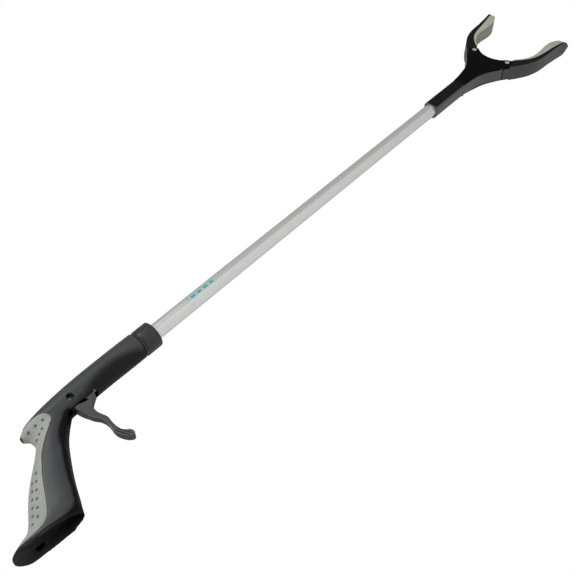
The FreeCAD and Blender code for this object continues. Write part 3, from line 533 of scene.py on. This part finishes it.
def blend_creases(mesh, low, high, rounds, outward, clear_of):
    """Smooths around the hollow edges that lie in a box; only outward facing skin is moved."""
    co, edges = points(mesh), mesh_edges(mesh)
    away = normals(mesh)
    hollow = neighbour_mean(co, edges, neighbour_count(edges, len(co))) - co
    hollow = np.einsum("ij,ij->i", hollow, away)
    inside = np.all((co > np.array(low) * MM) & (co < np.array(high) * MM), axis=1)
    inside &= (away @ np.array(outward) > 0) | (away[:, 1] * np.sign(co[:, 1]) > FLANK_TURN)
    inside &= np.abs(co[:, 1]) >= clear_of * MM
    crease = np.flatnonzero(inside & (hollow > CREASE_HOLLOW * MM))
    tree = KDTree(len(crease))
    for i in crease:
        tree.insert(co[i], int(i))
    tree.balance()
    distance = np.full(len(co), BLEND_REACH)
    for i in np.flatnonzero(inside):
        distance[i] = tree.find(co[i])[2] / MM
    filled_in(mesh, rounds, ramp(distance, BLEND_REACH, BLEND_FULL))


# Hollow between the hump's underside and the grip's back, in mm. The corner between them lies at
# CORNER on the middle plane and moves by CORNER_SPREAD for each square millimetre of distance from
# it. It opens by twice HALF_ANGLE, and FILL_WAY points out of it.
CORNER = (-124.8, -8.0)
CORNER_SPREAD = (0.13, 0.02)
HOLLOW_REACH = 9.5
HALF_ANGLE = math.radians(38.7)
FILL_WAY = (-0.94, 0.0, -0.34)
FILL_FACING = (-0.2, 0.3)


def fill_hollow(mesh):
    """Rounds the corner out with an arc that touches both faces HOLLOW_REACH away from it."""
    co, away = points(mesh), normals(mesh)
    x, y, z = co.T / MM
    dx = x - CORNER[0] - CORNER_SPREAD[0] * y * y
    dz = z - CORNER[1] - CORNER_SPREAD[1] * y * y
    near = np.minimum(np.hypot(dx, dz), HOLLOW_REACH)
    radius = HOLLOW_REACH * math.tan(HALF_ANGLE)
    depth = radius / math.sin(HALF_ANGLE) - near * math.cos(HALF_ANGLE)
    depth -= np.sqrt(np.maximum(radius ** 2 - (near * math.sin(HALF_ANGLE)) ** 2, 0))
    facing = ramp(away @ np.array(FILL_WAY), *FILL_FACING)
    co += np.array(FILL_WAY) * (depth * facing * MM)[:, None]
    set_points(mesh, co)


OUTLINE_LEVELS = np.arange(-80.0, -18.0, 4.0)
OUTLINE_BAND = 3.0


def grip_outline():
    """Rows of height, front, back and half width of the grip in mm, measured on its CAD nodes."""
    nodes = ("handle_shell_near", "handle_shell_far", "grip_inlay")
    co = np.vstack([points(NODES[n].data) for n in nodes]) / MM
    rows = []
    for level in OUTLINE_LEVELS:
        ring = co[np.abs(co[:, 2] - level) < OUTLINE_BAND]
        rows.append((level, ring[:, 0].max(), ring[:, 0].min(), np.abs(ring[:, 1]).max()))
    return np.array(rows)


# The grip's section is a superellipse whose power grows from SQUARE_POWER by SQUARE_GAIN between two
# heights. Only the skin changes, below the hump, and the back only near the butt. Places run from -1
# at the back to 1 at the front.
SQUARE_POWER, SQUARE_GAIN = 2.7, 1.5
SQUARE_HEIGHTS, GRIP_HEIGHTS, BACK_HEIGHTS = (-30, -84), (-24, -38), (-50, -80)
SKIN_PLACES, FRONT_PLACES = (0.86, 0.94), (-0.25, 0.05)


def squarer(mesh, outline):
    """Pushes the grip's outer skin from an ellipse towards a rounded oblong with nearly flat sides."""
    co = points(mesh)
    x, y, z = co.T / MM
    front, back, half = (np.interp(z, outline[:, 0], outline[:, i]) for i in (1, 2, 3))
    middle, depth = (front + back) / 2, (front - back) / 2
    u, v = (x - middle) / depth, y / half
    angle = np.arctan2(v, u)
    power = SQUARE_POWER + SQUARE_GAIN * ramp(z, *SQUARE_HEIGHTS)
    wanted = (np.abs(np.cos(angle)) ** power + np.abs(np.sin(angle)) ** power) ** (-1 / power)
    where = rise(np.hypot(u, v), *SKIN_PLACES) * ramp(z, *GRIP_HEIGHTS)
    where *= np.maximum(rise(u, *FRONT_PLACES), ramp(z, *BACK_HEIGHTS))
    grow = 1 + (wanted - 1) * where
    co[:, 0] = (middle + u * grow * depth) * MM
    co[:, 1] = np.sign(v) * np.minimum(np.abs(v) * grow, np.maximum(np.abs(v), 1.0)) * half * MM
    set_points(mesh, co)
    return mesh


# Crease on both flanks of the barrel, in mm: an arc that is highest in its middle. The flank is sunk
# below it, but not in the bore, the groove behind the collar or the slot under the barrel.
CREASE_TOP, CREASE_MIDDLE, CREASE_BOW = -0.8, -50.0, 0.0073
CREASE_REAR = (-94.0, -80.0)
CREASE_DEPTH, CREASE_SOFT = 0.8, 3.6
BARREL_SKIN, BARREL_FRONT, BARREL_BOTTOM = (9.9, 10.6), (-17.3, -19.0), (-10.4, -7.0)


def below_crease(x, z, soft):
    """1 well below the barrel's crease, 0 above it, for places in mm."""
    line = CREASE_TOP - CREASE_BOW * (x - CREASE_MIDDLE) ** 2
    return ramp(line - z, -0.3 * soft, soft) * ramp(x, *CREASE_REAR)


def crease_barrel(mesh):
    """Sinks the barrel's lower flank below its curved crease."""
    co = points(mesh)
    x, y, z = co.T / MM
    skin = ramp(np.hypot(y, z), *BARREL_SKIN) * ramp(x, *BARREL_FRONT) * ramp(z, *BARREL_BOTTOM)
    pull = CREASE_DEPTH * MM * below_crease(x, z, CREASE_SOFT) * skin
    co[:, 1] -= np.sign(co[:, 1]) * np.minimum(pull, np.abs(co[:, 1]))
    set_points(mesh, co)


# Painted shade on the handle: faces turned towards FRONT_WAY and the flank below the crease are painted
# black.
FRONT_WAY = (0.8, 0.0, -0.6)
FRONT_TURN = (0.40, 0.66)
FLANK_PAINTED_SHADE, FLANK_SOFT, FLANK_FRONT = 0.85, 4.5, (-15, -17)


def handle_painted_shade(mesh):
    """Painted shade: the grip's front edge, the underside and the sunk flank, which face away from the
    light, are blacker than the rest.
    """
    x, y, z = points(mesh).T / MM
    turned = ramp(normals(mesh) @ np.array(FRONT_WAY), *FRONT_TURN)
    return np.maximum(turned, FLANK_PAINTED_SHADE * below_crease(x, z, FLANK_SOFT) * ramp(x, *FLANK_FRONT))


# Hump tail and heel, in mm: the tail's axis height and half sizes near its end, where its dome and
# its narrowing set in, and how far the heel's sharp corner is lifted and drawn in.
TAIL_AXIS, TAIL_HALF, TAIL_HEIGHT = -0.9, 6.0, 4.3
TAIL_DOME, TAIL_SQUEEZE = 2.4, 0.30
TAIL_RUN, TAIL_FACE, TAIL_LEVELS = (-121.0, -131.0), (-129.5, -130.8), (-13.0, -8.0)
HEEL_LIFT, HEEL_TUCK = 3.2, 1.2
HEEL_RUN, HEEL_LEVELS, HEEL_TIP_LEVELS = (-176.0, -193.4), (-68.0, -80.0), (-76.0, -81.0)


def round_ends(mesh):
    """Rounds the hump's flat tail into a dome and lifts the sharp corner of the heel."""
    co = points(mesh)
    x, y, z = co.T / MM
    high = ramp(z, *TAIL_LEVELS)
    run = ramp(x, *TAIL_RUN) * high
    offset = np.minimum(np.hypot(y / TAIL_HALF, (z - TAIL_AXIS) / TAIL_HEIGHT), 1.0)
    co[:, 0] -= TAIL_DOME * MM * (1 - offset ** 2) * ramp(x, *TAIL_FACE) * high
    squeeze = 1 - TAIL_SQUEEZE * run ** 3
    co[:, 1] *= squeeze
    co[:, 2] = (TAIL_AXIS + (z - TAIL_AXIS) * squeeze) * MM
    back, low = ramp(x, *HEEL_RUN), ramp(z, *HEEL_LEVELS)
    co[:, 2] += HEEL_LIFT * MM * back * back * low
    co[:, 0] += HEEL_TUCK * MM * back * low * ramp(z, *HEEL_TIP_LEVELS)
    set_points(mesh, co)
    return mesh


SEAM_HALF = 0.35


def make_shell(side, outline):
    """One half of the handle; its flat seam stays flat."""
    node = f"handle_shell_{side}"
    mesh = moulded(node)
    before = points(mesh)[:, 1]
    seam = np.abs(before) < SEAM_HALF * MM
    blend_creases(mesh, **SHELL_BLEND)
    squarer(mesh, outline)
    crease_barrel(mesh)
    round_ends(mesh)
    co = points(mesh)
    co[seam, 1] = before[seam]
    set_points(mesh, co)
    # Painted shade on the handle's front, underside and sunk flank.
    store_painted_shade(mesh, handle_painted_shade(mesh))
    new_piece(node + "_piece", mesh, node)


def make_butt_cap(outline):
    new_piece("butt_cap_piece", round_ends(squarer(moulded("butt_cap"), outline)), "butt_cap")


# Dimples in side view, in mm: where each row starts, the step to its next dimple, and how many it
# has. There are two slanting rows on the hump and two columns down the grip.
DIMPLE_ROWS = [
    ((-113.6, -5.4), (-6.5, 0.7), 3),
    ((-118.5, -10.2), (-4.0, -1.4), 3),
    ((-144.4, -37.0), (-3.9, -5.5), 6),
    ((-151.0, -40.4), (-3.75, -5.1), 6),
]
DIMPLE_RADIUS, DIMPLE_DEPTH, DIMPLE_PAINTED_SHADE = 1.25, 0.75, 0.8
DIMPLE_TURN = 0.25


def dimple_places():
    return [(start[0] + step[0] * k, start[1] + step[1] * k) for start, step, count in DIMPLE_ROWS
            for k in range(count)]


def make_inlay(outline):
    """Soft back of the grip, with dimples on both flanks and painted shade in the dimples."""
    mesh = moulded("grip_inlay")
    fill_hollow(mesh)
    blend_creases(mesh, **INLAY_BLEND)
    squarer(mesh, outline)
    round_ends(mesh)
    co, away = points(mesh), normals(mesh)
    outward = (np.abs(away[:, 1]) > DIMPLE_TURN) & (away[:, 1] * co[:, 1] > 0)
    deep = np.zeros(len(co))
    for x, z in dimple_places():
        flat = np.hypot(co[:, 0] - x * MM, co[:, 2] - z * MM)
        deep = np.maximum(deep, bowl(flat, DIMPLE_RADIUS * MM) * outward)
    set_points(mesh, co - away * (DIMPLE_DEPTH * MM * deep)[:, None])
    # Painted shade in the dimples.
    store_painted_shade(mesh, DIMPLE_PAINTED_SHADE * ramp(deep, 0.0, 0.5))
    new_piece("grip_inlay_piece", mesh, "grip_inlay")


# Trigger, in mm: the lever's half thickness and how much it flares into its root, then the spoon's
# middle line, which slopes with height, and the two grooves beside it.
LEVER_HALF, ROOT_FLARE, FLARE_LEVELS = 3.1, 1.5, (-27.0, -9.0)
SPOON_TOP, SPOON_MIDDLE, SPOON_SLOPE = -48.5, -81.0, 0.39
SPOON_GROOVE_OFFSET, SPOON_GROOVE_HALF, SPOON_GROOVE_DEPTH = 1.05, 0.6, 0.5
SPOON_GROOVE_START, SPOON_GROOVE_END, SPOON_FLANK = (-44.5, -49.5), (-60.6, -58.2), (0.5, 0.8)
# Painted shade on the trigger's spoon grooves and on its faces turned towards TRIGGER_FRONT_WAY.
SPOON_GROOVE_PAINTED_SHADE = 0.8
TRIGGER_FRONT_WAY, TRIGGER_FRONT_TURN = (0.95, 0.0, 0.3), (0.25, 0.55)


def make_trigger():
    """The lever, flaring smoothly into its root, with two finger grooves that run along its spoon end; its
    front and the grooves carry painted shade.
    """
    mesh = moulded("trigger")
    co = points(mesh)
    x, y, z = co.T / MM
    widest = LEVER_HALF + ROOT_FLARE * ramp(z, *FLARE_LEVELS)
    co[:, 1] = np.sign(y) * np.minimum(np.abs(y), widest) * MM
    set_points(mesh, co)
    away = normals(mesh)
    middle = SPOON_MIDDLE + SPOON_SLOPE * (SPOON_TOP - z)
    groove = bowl(np.abs(x - middle) - SPOON_GROOVE_OFFSET, SPOON_GROOVE_HALF)
    groove *= ramp(np.abs(away[:, 1]), *SPOON_FLANK)
    groove *= ramp(z, *SPOON_GROOVE_START) * ramp(z, *SPOON_GROOVE_END)
    set_points(mesh, co - away * (SPOON_GROOVE_DEPTH * MM * groove)[:, None])
    # Painted shade on the lever's front faces and in the grooves.
    front = ramp(away @ np.array(TRIGGER_FRONT_WAY), *TRIGGER_FRONT_TURN)
    store_painted_shade(mesh, front + SPOON_GROOVE_PAINTED_SHADE * groove)
    new_piece("trigger_piece", mesh, "trigger")


# ---------------------------------------------------------------- collar and tube


# Collar, in mm: its bore over the hub and over the tube, where the bore steps between them, and its
# outer groove.
HUB_BORE, TUBE_BORE, BORE_STEP = 9.05, 7.08, -2.6
GROOVE_SINK, GROOVE_WIDTH = 0.7, 1.9


def make_collar():
    """Crisp ring with a shallow groove at its rear and slightly rounded edges."""
    low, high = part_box("rotation_collar")
    rear, front, radius = low.x / MM, high.x / MM, high.z / MM
    floor = radius - GROOVE_SINK
    groove = [(rear, floor - 0.5), (rear + 0.3, floor), (rear + GROOVE_WIDTH, floor)]
    shoulder = [(rear + GROOVE_WIDTH + 0.3, radius - 0.1), (rear + GROOVE_WIDTH + 0.6, radius)]
    edge = [(front - 0.5, radius), (front - 0.15, radius - 0.15), (front, radius - 0.5)]
    mouth = [(front, TUBE_BORE + 0.52), (front - 0.5, TUBE_BORE)]
    bore = [(BORE_STEP, TUBE_BORE), (BORE_STEP, HUB_BORE)]
    profile = [(rear, HUB_BORE)] + groove + shoulder + edge + mouth + bore
    new_piece("collar_piece", lathe("collar", profile), "rotation_collar", crisp=True)


TUBE_WALL, TUBE_EDGE, TUBE_RINGS, TUBE_SEGMENTS = 1.0, 0.2, 24, 128


def make_tube():
    low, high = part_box("tube")
    rear, front, radius = low.x / MM, high.x / MM, high.z / MM
    bore = radius - TUBE_WALL
    length = front - rear - 2 * TUBE_EDGE
    rings = [rear + TUBE_EDGE + length * i / TUBE_RINGS for i in range(TUBE_RINGS + 1)]
    outside = [(rear, radius - TUBE_EDGE)] + [(x, radius) for x in rings] + [(front, radius - TUBE_EDGE)]
    inside = [(front, bore + TUBE_EDGE)] + [(x, bore) for x in reversed(rings)]
    profile = [(rear, bore + TUBE_EDGE)] + outside + inside
    new_piece("tube_piece", lathe("tube_pipe", profile, TUBE_SEGMENTS), "tube", crisp=True)


def make_spring():
    """The return spring as its CAD node's merged surface, on a mesh of its own."""
    node = "jaw_return_spring"
    piece = new_piece("return_spring_piece", closed_mesh("return_spring", node), node)
    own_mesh(piece)


# ---------------------------------------------------------------- head


SIDE_TURN = (0.55, 0.85)


def paint_side_shade(mesh):
    """Painted shade: the flanks of the head's parts are blacker than their outer faces."""
    store_painted_shade(mesh, ramp(np.abs(normals(mesh)[:, 1]), *SIDE_TURN))


# Yoke near the joint with the square socket, in mm: place along X, half height, half width, corner
# radius.
NECK = np.array([(466.0, 7.9, 7.9, 4.2), (474.0, 8.05, 8.2, 2.8), (482.0, 8.4, 8.6, 1.6),
                 (492.0, 9.8, 8.8, 0.8)])
NECK_START, NECK_END = 465.5, 492


def round_neck(mesh):
    """Draws the yoke's corners in so that they grow smoothly out of the socket's rounded square."""
    co = points(mesh)
    x, y, z = co.T / MM
    tall, half, radius = (np.interp(x, NECK[:, 0], NECK[:, i]) for i in (1, 2, 3))
    over_y, over_z = np.abs(y) - (half - radius), np.abs(z) - (tall - radius)
    away = np.hypot(np.maximum(over_y, 1e-6), np.maximum(over_z, 1e-6))
    corner = (over_y > 0) & (over_z > 0) & (away > radius) & (x > NECK_START) & (x < NECK_END)
    pull = np.where(corner, radius / away, 1.0)
    co[:, 1] = np.where(corner, np.sign(y) * (half - radius + over_y * pull) * MM, co[:, 1])
    co[:, 2] = np.where(corner, np.sign(z) * (tall - radius + over_z * pull) * MM, co[:, 2])
    set_points(mesh, co)


# The share by which the plates' ears stand out past their smoothed outline, so that no light shows
# beside the jaw's hub, and where along X in mm this sets in and ends.
EAR_GROWTH, EAR_START, EAR_END = 0.062, (500, 518), (536, 528)


def fuller_ears(mesh):
    co = points(mesh)
    x = co[:, 0] / MM
    co[:, 2] *= 1 + EAR_GROWTH * ramp(x, *EAR_START) * ramp(x, *EAR_END)
    set_points(mesh, co)


def make_yoke():
    """Sleeve on the tube, then the yoke's frame between its two plates."""
    sleeve = moulded("head_sleeve")
    paint_side_shade(sleeve)
    new_piece("head_sleeve_piece", sleeve, "head_sleeve")
    for node in ("yoke_frame", "yoke_plate_near", "yoke_plate_far"):
        mesh = moulded(node)
        round_neck(mesh)
        if node != "yoke_frame":
            fuller_ears(mesh)
        paint_side_shade(mesh)
        new_piece(node + "_piece", mesh, node)


# How much fuller the jaw's rounded end is than its even taper, by place along X in mm, where this
# sets in, and how much of the nib's length past NIB_START is kept.
TIP_FULLNESS = np.array([(590.0, 1.02), (606.0, 1.05), (614.0, 1.10), (619.5, 1.17),
                         (622.0, 1.18), (624.5, 1.08), (627.0, 0.9)])
TIP_RUN = (580, 592)
NIB_START, NIB_KEPT = 624.5, 0.6


def fuller_tip(mesh):
    co = points(mesh)
    x = co[:, 0] / MM
    grow = np.interp(x, TIP_FULLNESS[:, 0], TIP_FULLNESS[:, 1], left=1.0)
    co[:, 1] *= 1 + (grow - 1) * ramp(x, *TIP_RUN)
    co[:, 0] -= np.maximum(x - NIB_START, 0) * (1 - NIB_KEPT) * MM
    set_points(mesh, co)


def make_jaw_arm(word):
    node = "jaw_arm_" + word
    mesh = moulded(node)
    fuller_tip(mesh)
    paint_side_shade(mesh)
    new_piece(node + "_piece", mesh, node)


# Gripping pad, in mm: a groove along each edge, then ridges over the field between them. The ridges
# cross as they follow circles about RIDGE_CENTRE, which is flattened by RIDGE_FLATTENING in height.
# The spans are along X.
PAD_GROOVE_MIDDLE, PAD_GROOVE_HALF, PAD_GROOVE_DEPTH = 4.6, 1.15, 1.5
PAD_GROOVE_START, PAD_GROOVE_END = (549, 554), (620, 615)
FIELD_EDGE, FIELD_START, FIELD_END = (3.3, 2.7), (551, 555), (618, 613)
RIDGE_CENTRE, RIDGE_FLATTENING = (545, 24), 0.5
RIDGE_PITCH, RIDGE_DEPTH, RIDGE_SLOPE = 2.4, 0.30, (0.0, 0.55)
FACE_TURN = (0.25, 0.5)


def make_jaw_pad(word, side):
    """Soft pad; side is 1 for the upper jaw and -1 for the lower one."""
    node = "jaw_pad_" + word
    mesh = moulded(node)
    co, away = points(mesh), normals(mesh)
    x, y, z = co.T / MM
    face = ramp(-side * away[:, 2], *FACE_TURN)
    groove = bowl(np.abs(y) - PAD_GROOVE_MIDDLE, PAD_GROOVE_HALF)
    groove *= ramp(x, *PAD_GROOVE_START) * ramp(x, *PAD_GROOVE_END)
    along = np.hypot(x - RIDGE_CENTRE[0], (z - side * RIDGE_CENTRE[1]) * RIDGE_FLATTENING)
    crossed = np.minimum(*(np.abs(np.sin((along + way * y) * math.pi / RIDGE_PITCH)) for way in (1, -1)))
    field = ramp(np.abs(y), *FIELD_EDGE) * ramp(x, *FIELD_START) * ramp(x, *FIELD_END)
    cut = PAD_GROOVE_DEPTH * groove + RIDGE_DEPTH * field * (1 - ramp(crossed, *RIDGE_SLOPE))
    set_points(mesh, co - away * (cut * face * MM)[:, None])
    fuller_tip(mesh)
    new_piece(node + "_piece", mesh, node)


# Jaw pin, in mm: radii of its heads and shank, how far its heads reach into the CAD pin's length, the
# height of a head's straight rim, and of the dome on it.
PIN_HEAD, PIN_SHANK, PIN_SINK, PIN_RIM, PIN_DOME, PIN_SEGMENTS = 2.6, 1.98, 0.6, 0.55, 0.75, 40


def make_jaw_pin(word):
    """Riveted pin with a low dome on each end."""
    node = "jaw_pin_" + word
    low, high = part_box(node)
    middle = (low + high) / 2
    face = high.y / MM - PIN_SINK
    quarter = np.linspace(0, math.pi / 2, 7)
    dome = [(face + PIN_RIM + PIN_DOME * math.cos(a), PIN_HEAD * math.sin(a)) for a in quarter]
    end = dome + [(face, PIN_HEAD), (face, PIN_SHANK)]
    profile = end + [(-y, r) for y, r in reversed(end)]
    mesh = lathe("jaw_pin", profile, PIN_SEGMENTS, (middle.x, 0, middle.z), "Y")
    new_piece(node + "_piece", mesh, node, crisp=True)


# ---------------------------------------------------------------- screws


# A screw's head is a low dome with a cross recess. The shares are of its radius and of its height.
SCREW_RINGS, SCREW_SPOKES = 14, 64
DOME_DROP, RECESS_DEPTH = 0.35, 0.65
RECESS_ARM, RECESS_REACH = 0.17, 0.62
ARM_EDGE, REACH_EDGE = (1.6 / 1.3, 0.6 / 1.3), (1.15, 0.9)


def screw_head(radius, height):
    """Rings of vertices from the middle of the head to its rim."""
    verts = []
    for i in range(SCREW_RINGS + 1):
        ring = radius * i / SCREW_RINGS
        for k in range(SCREW_SPOKES):
            angle = 2 * math.pi * k / SCREW_SPOKES
            u, v = ring * math.cos(angle), ring * math.sin(angle)
            arm = min(abs(u), abs(v)) / (RECESS_ARM * radius)
            reach = max(abs(u), abs(v)) / (RECESS_REACH * radius)
            recess = rise(arm, *ARM_EDGE) * rise(reach, *REACH_EDGE)
            dome = 1 - DOME_DROP * (ring / radius) ** 2
            verts.append((u, v, height * (dome - RECESS_DEPTH * recess)))
    return verts


def make_screw(name, place, outward, head, height, shank, length):
    """One skin of rings, from the middle of the head over its rim to the middle of the shank's tip."""
    verts = screw_head(head, height)
    for radius, level in ((head, 0.0), (shank, 0.0), (shank, -length), (0.0, -length)):
        for k in range(SCREW_SPOKES):
            angle = 2 * math.pi * k / SCREW_SPOKES
            verts.append((radius * math.cos(angle), radius * math.sin(angle), level))
    faces = []
    for row in range(len(verts) // SCREW_SPOKES - 1):
        here, there = row * SCREW_SPOKES, (row + 1) * SCREW_SPOKES
        for k in range(SCREW_SPOKES):
            beside = (k + 1) % SCREW_SPOKES
            faces.append((here + k, here + beside, there + beside, there + k))
    turn = Vector(outward).to_track_quat("Z", "X")
    mesh = bpy.data.meshes.new(name)
    mesh.from_pydata([turn @ Vector(v) * MM + Vector(place) for v in verts], [], faces)
    return mesh


def make_screws(node, way, head, height, shank):
    """Screws along Y in place of a CAD node's plain ones; way is the side that their heads face."""
    builder = bmesh.new()
    for low, high in solids_of(node):
        middle = (low + high) / 2
        outer = high[1] if way > 0 else low[1]
        seat = (middle[0], outer - way * height * MM, middle[2])
        length = (high[1] - low[1]) / MM - height
        builder.from_mesh(make_screw(node, seat, (0, way, 0), head, height, shank, length))
    bmesh.ops.remove_doubles(builder, verts=builder.verts, dist=SEAM_REACH / 2 * MM)
    bmesh.ops.recalc_face_normals(builder, faces=builder.faces)
    mesh = bpy.data.meshes.new(node + "_turned")
    builder.to_mesh(mesh)
    builder.free()
    new_piece(node + "_piece", mesh, node, crisp=True)


# ---------------------------------------------------------------- stage, lights and camera, in metres


def pale(name, colour):
    """Backdrop that shows only its upper face, so that a camera below it sees the object."""
    g = Graph(name)
    back = g.node("ShaderNodeNewGeometry").outputs["Backfacing"]
    clear = g.node("ShaderNodeBsdfTransparent")
    mixed = g.node("ShaderNodeMixShader", {0: back, 1: g.shader.outputs[0], 2: clear.outputs[0]})
    g.tree.links.new(mixed.outputs[0], g.tree.nodes["Material Output"].inputs["Surface"])
    speck = g.noise(g.scaled(9, 9, 9))
    tone = g.mix(speck, shade(colour, lift=0.99), shade(colour, lift=1.01))
    return g.set(Base_Color=tone, Roughness=0.9)


FLOOR_HALF, FLOOR_GAP, FLOOR_GREY = 6.0, 0.0005, 0.85


def make_floor():
    half, level = FLOOR_HALF, cad_low.z - FLOOR_GAP
    corners = [(-half, -half, level), (half, -half, level), (half, half, level), (-half, half, level)]
    mesh = bpy.data.meshes.new("floor")
    mesh.from_pydata(corners, [], [(0, 1, 2, 3)])
    mesh.materials.append(pale("floor_paint", FLOOR_GREY))
    floor = bpy.data.objects.new("floor", mesh)
    bpy.context.scene.collection.objects.link(floor)


# Softboxes: name, place, width, height and watts. All of them face LIT_PLACE.
SOFTBOXES = [
    ("key", (-0.45, -1.3, 0.75), 1.0, 0.5, 20),
    ("low", (0.9, -0.7, -1.0), 1.2, 0.6, 9),
    ("rim", (0.1, 1.2, 1.2), 1.4, 0.6, 8),
]
LIT_PLACE = (0.2, 0, 0)
WHITE = (1, 1, 1, 1)
DOME_STRENGTH, SHOWN_STRENGTH = 0.34, 1.0


def area_light(name, place, wide, tall, watts):
    data = bpy.data.lights.new(name, "AREA")
    data.shape, data.size, data.size_y, data.energy = "RECTANGLE", wide, tall, watts
    lamp = bpy.data.objects.new(name, data)
    lamp.location = place
    lamp.rotation_mode = "QUATERNION"
    lamp.rotation_quaternion = (Vector(LIT_PLACE) - Vector(place)).to_track_quat("-Z", "Y")
    bpy.context.scene.collection.objects.link(lamp)


def make_light():
    """A dim white dome that the camera sees as plain white, and the softboxes."""
    world = bpy.data.worlds.new("studio")
    bpy.context.scene.world = world
    world.use_nodes = True
    nodes, links = world.node_tree.nodes, world.node_tree.links
    dome, shown = nodes["Background"], nodes.new("ShaderNodeBackground")
    for background, strength in ((dome, DOME_STRENGTH), (shown, SHOWN_STRENGTH)):
        background.inputs["Color"].default_value = WHITE
        background.inputs["Strength"].default_value = strength
    mixed, path = nodes.new("ShaderNodeMixShader"), nodes.new("ShaderNodeLightPath")
    links.new(path.outputs["Is Camera Ray"], mixed.inputs[0])
    links.new(dome.outputs[0], mixed.inputs[1])
    links.new(shown.outputs[0], mixed.inputs[2])
    links.new(mixed.outputs[0], nodes["World Output"].inputs["Surface"])
    for softbox in SOFTBOXES:
        area_light(*softbox)


CAMERA_PLACE = (-0.2466, -0.5088, -0.3531)
CAMERA_FORWARD = (0.5171, 0.7362, 0.4366)
CAMERA_UP = (0.5616, -0.6768, 0.4761)
CAMERA_LENS_MM, CAMERA_SENSOR_MM = 50.0, 36.0
CAMERA_CLIP = (0.01, 50.0)


def make_camera():
    data = bpy.data.cameras.new("camera")
    data.lens, data.sensor_width = CAMERA_LENS_MM, CAMERA_SENSOR_MM
    data.clip_start, data.clip_end = CAMERA_CLIP
    camera = bpy.data.objects.new("camera", data)
    back = -Vector(CAMERA_FORWARD).normalized()
    right = Vector(CAMERA_UP).cross(back).normalized()
    axes = Matrix((right, back.cross(right), back)).transposed()
    camera.matrix_world = Matrix.LocRotScale(Vector(CAMERA_PLACE), axes.to_quaternion(), None)
    bpy.context.scene.collection.objects.link(camera)
    bpy.context.scene.camera = camera


# ---------------------------------------------------------------- the whole scene


def make_object():
    outline = grip_outline()
    for side in ("near", "far"):
        make_shell(side, outline)
    make_butt_cap(outline)
    make_inlay(outline)
    make_collar()
    make_tube()
    make_spring()
    make_trigger()
    make_yoke()
    for word, side in (("upper", 1), ("lower", -1)):
        make_jaw_arm(word)
        make_jaw_pad(word, side)
        make_jaw_pin(word)
    make_screws("handle_screws", -1, head=2.7, height=1.8, shank=1.3)
    make_screws("yoke_screws", 1, head=1.85, height=1.2, shank=0.98)


dress_cad_nodes()
make_object()
make_floor()
make_light()
make_camera()
bpy.context.scene.view_settings.view_transform = "Standard"
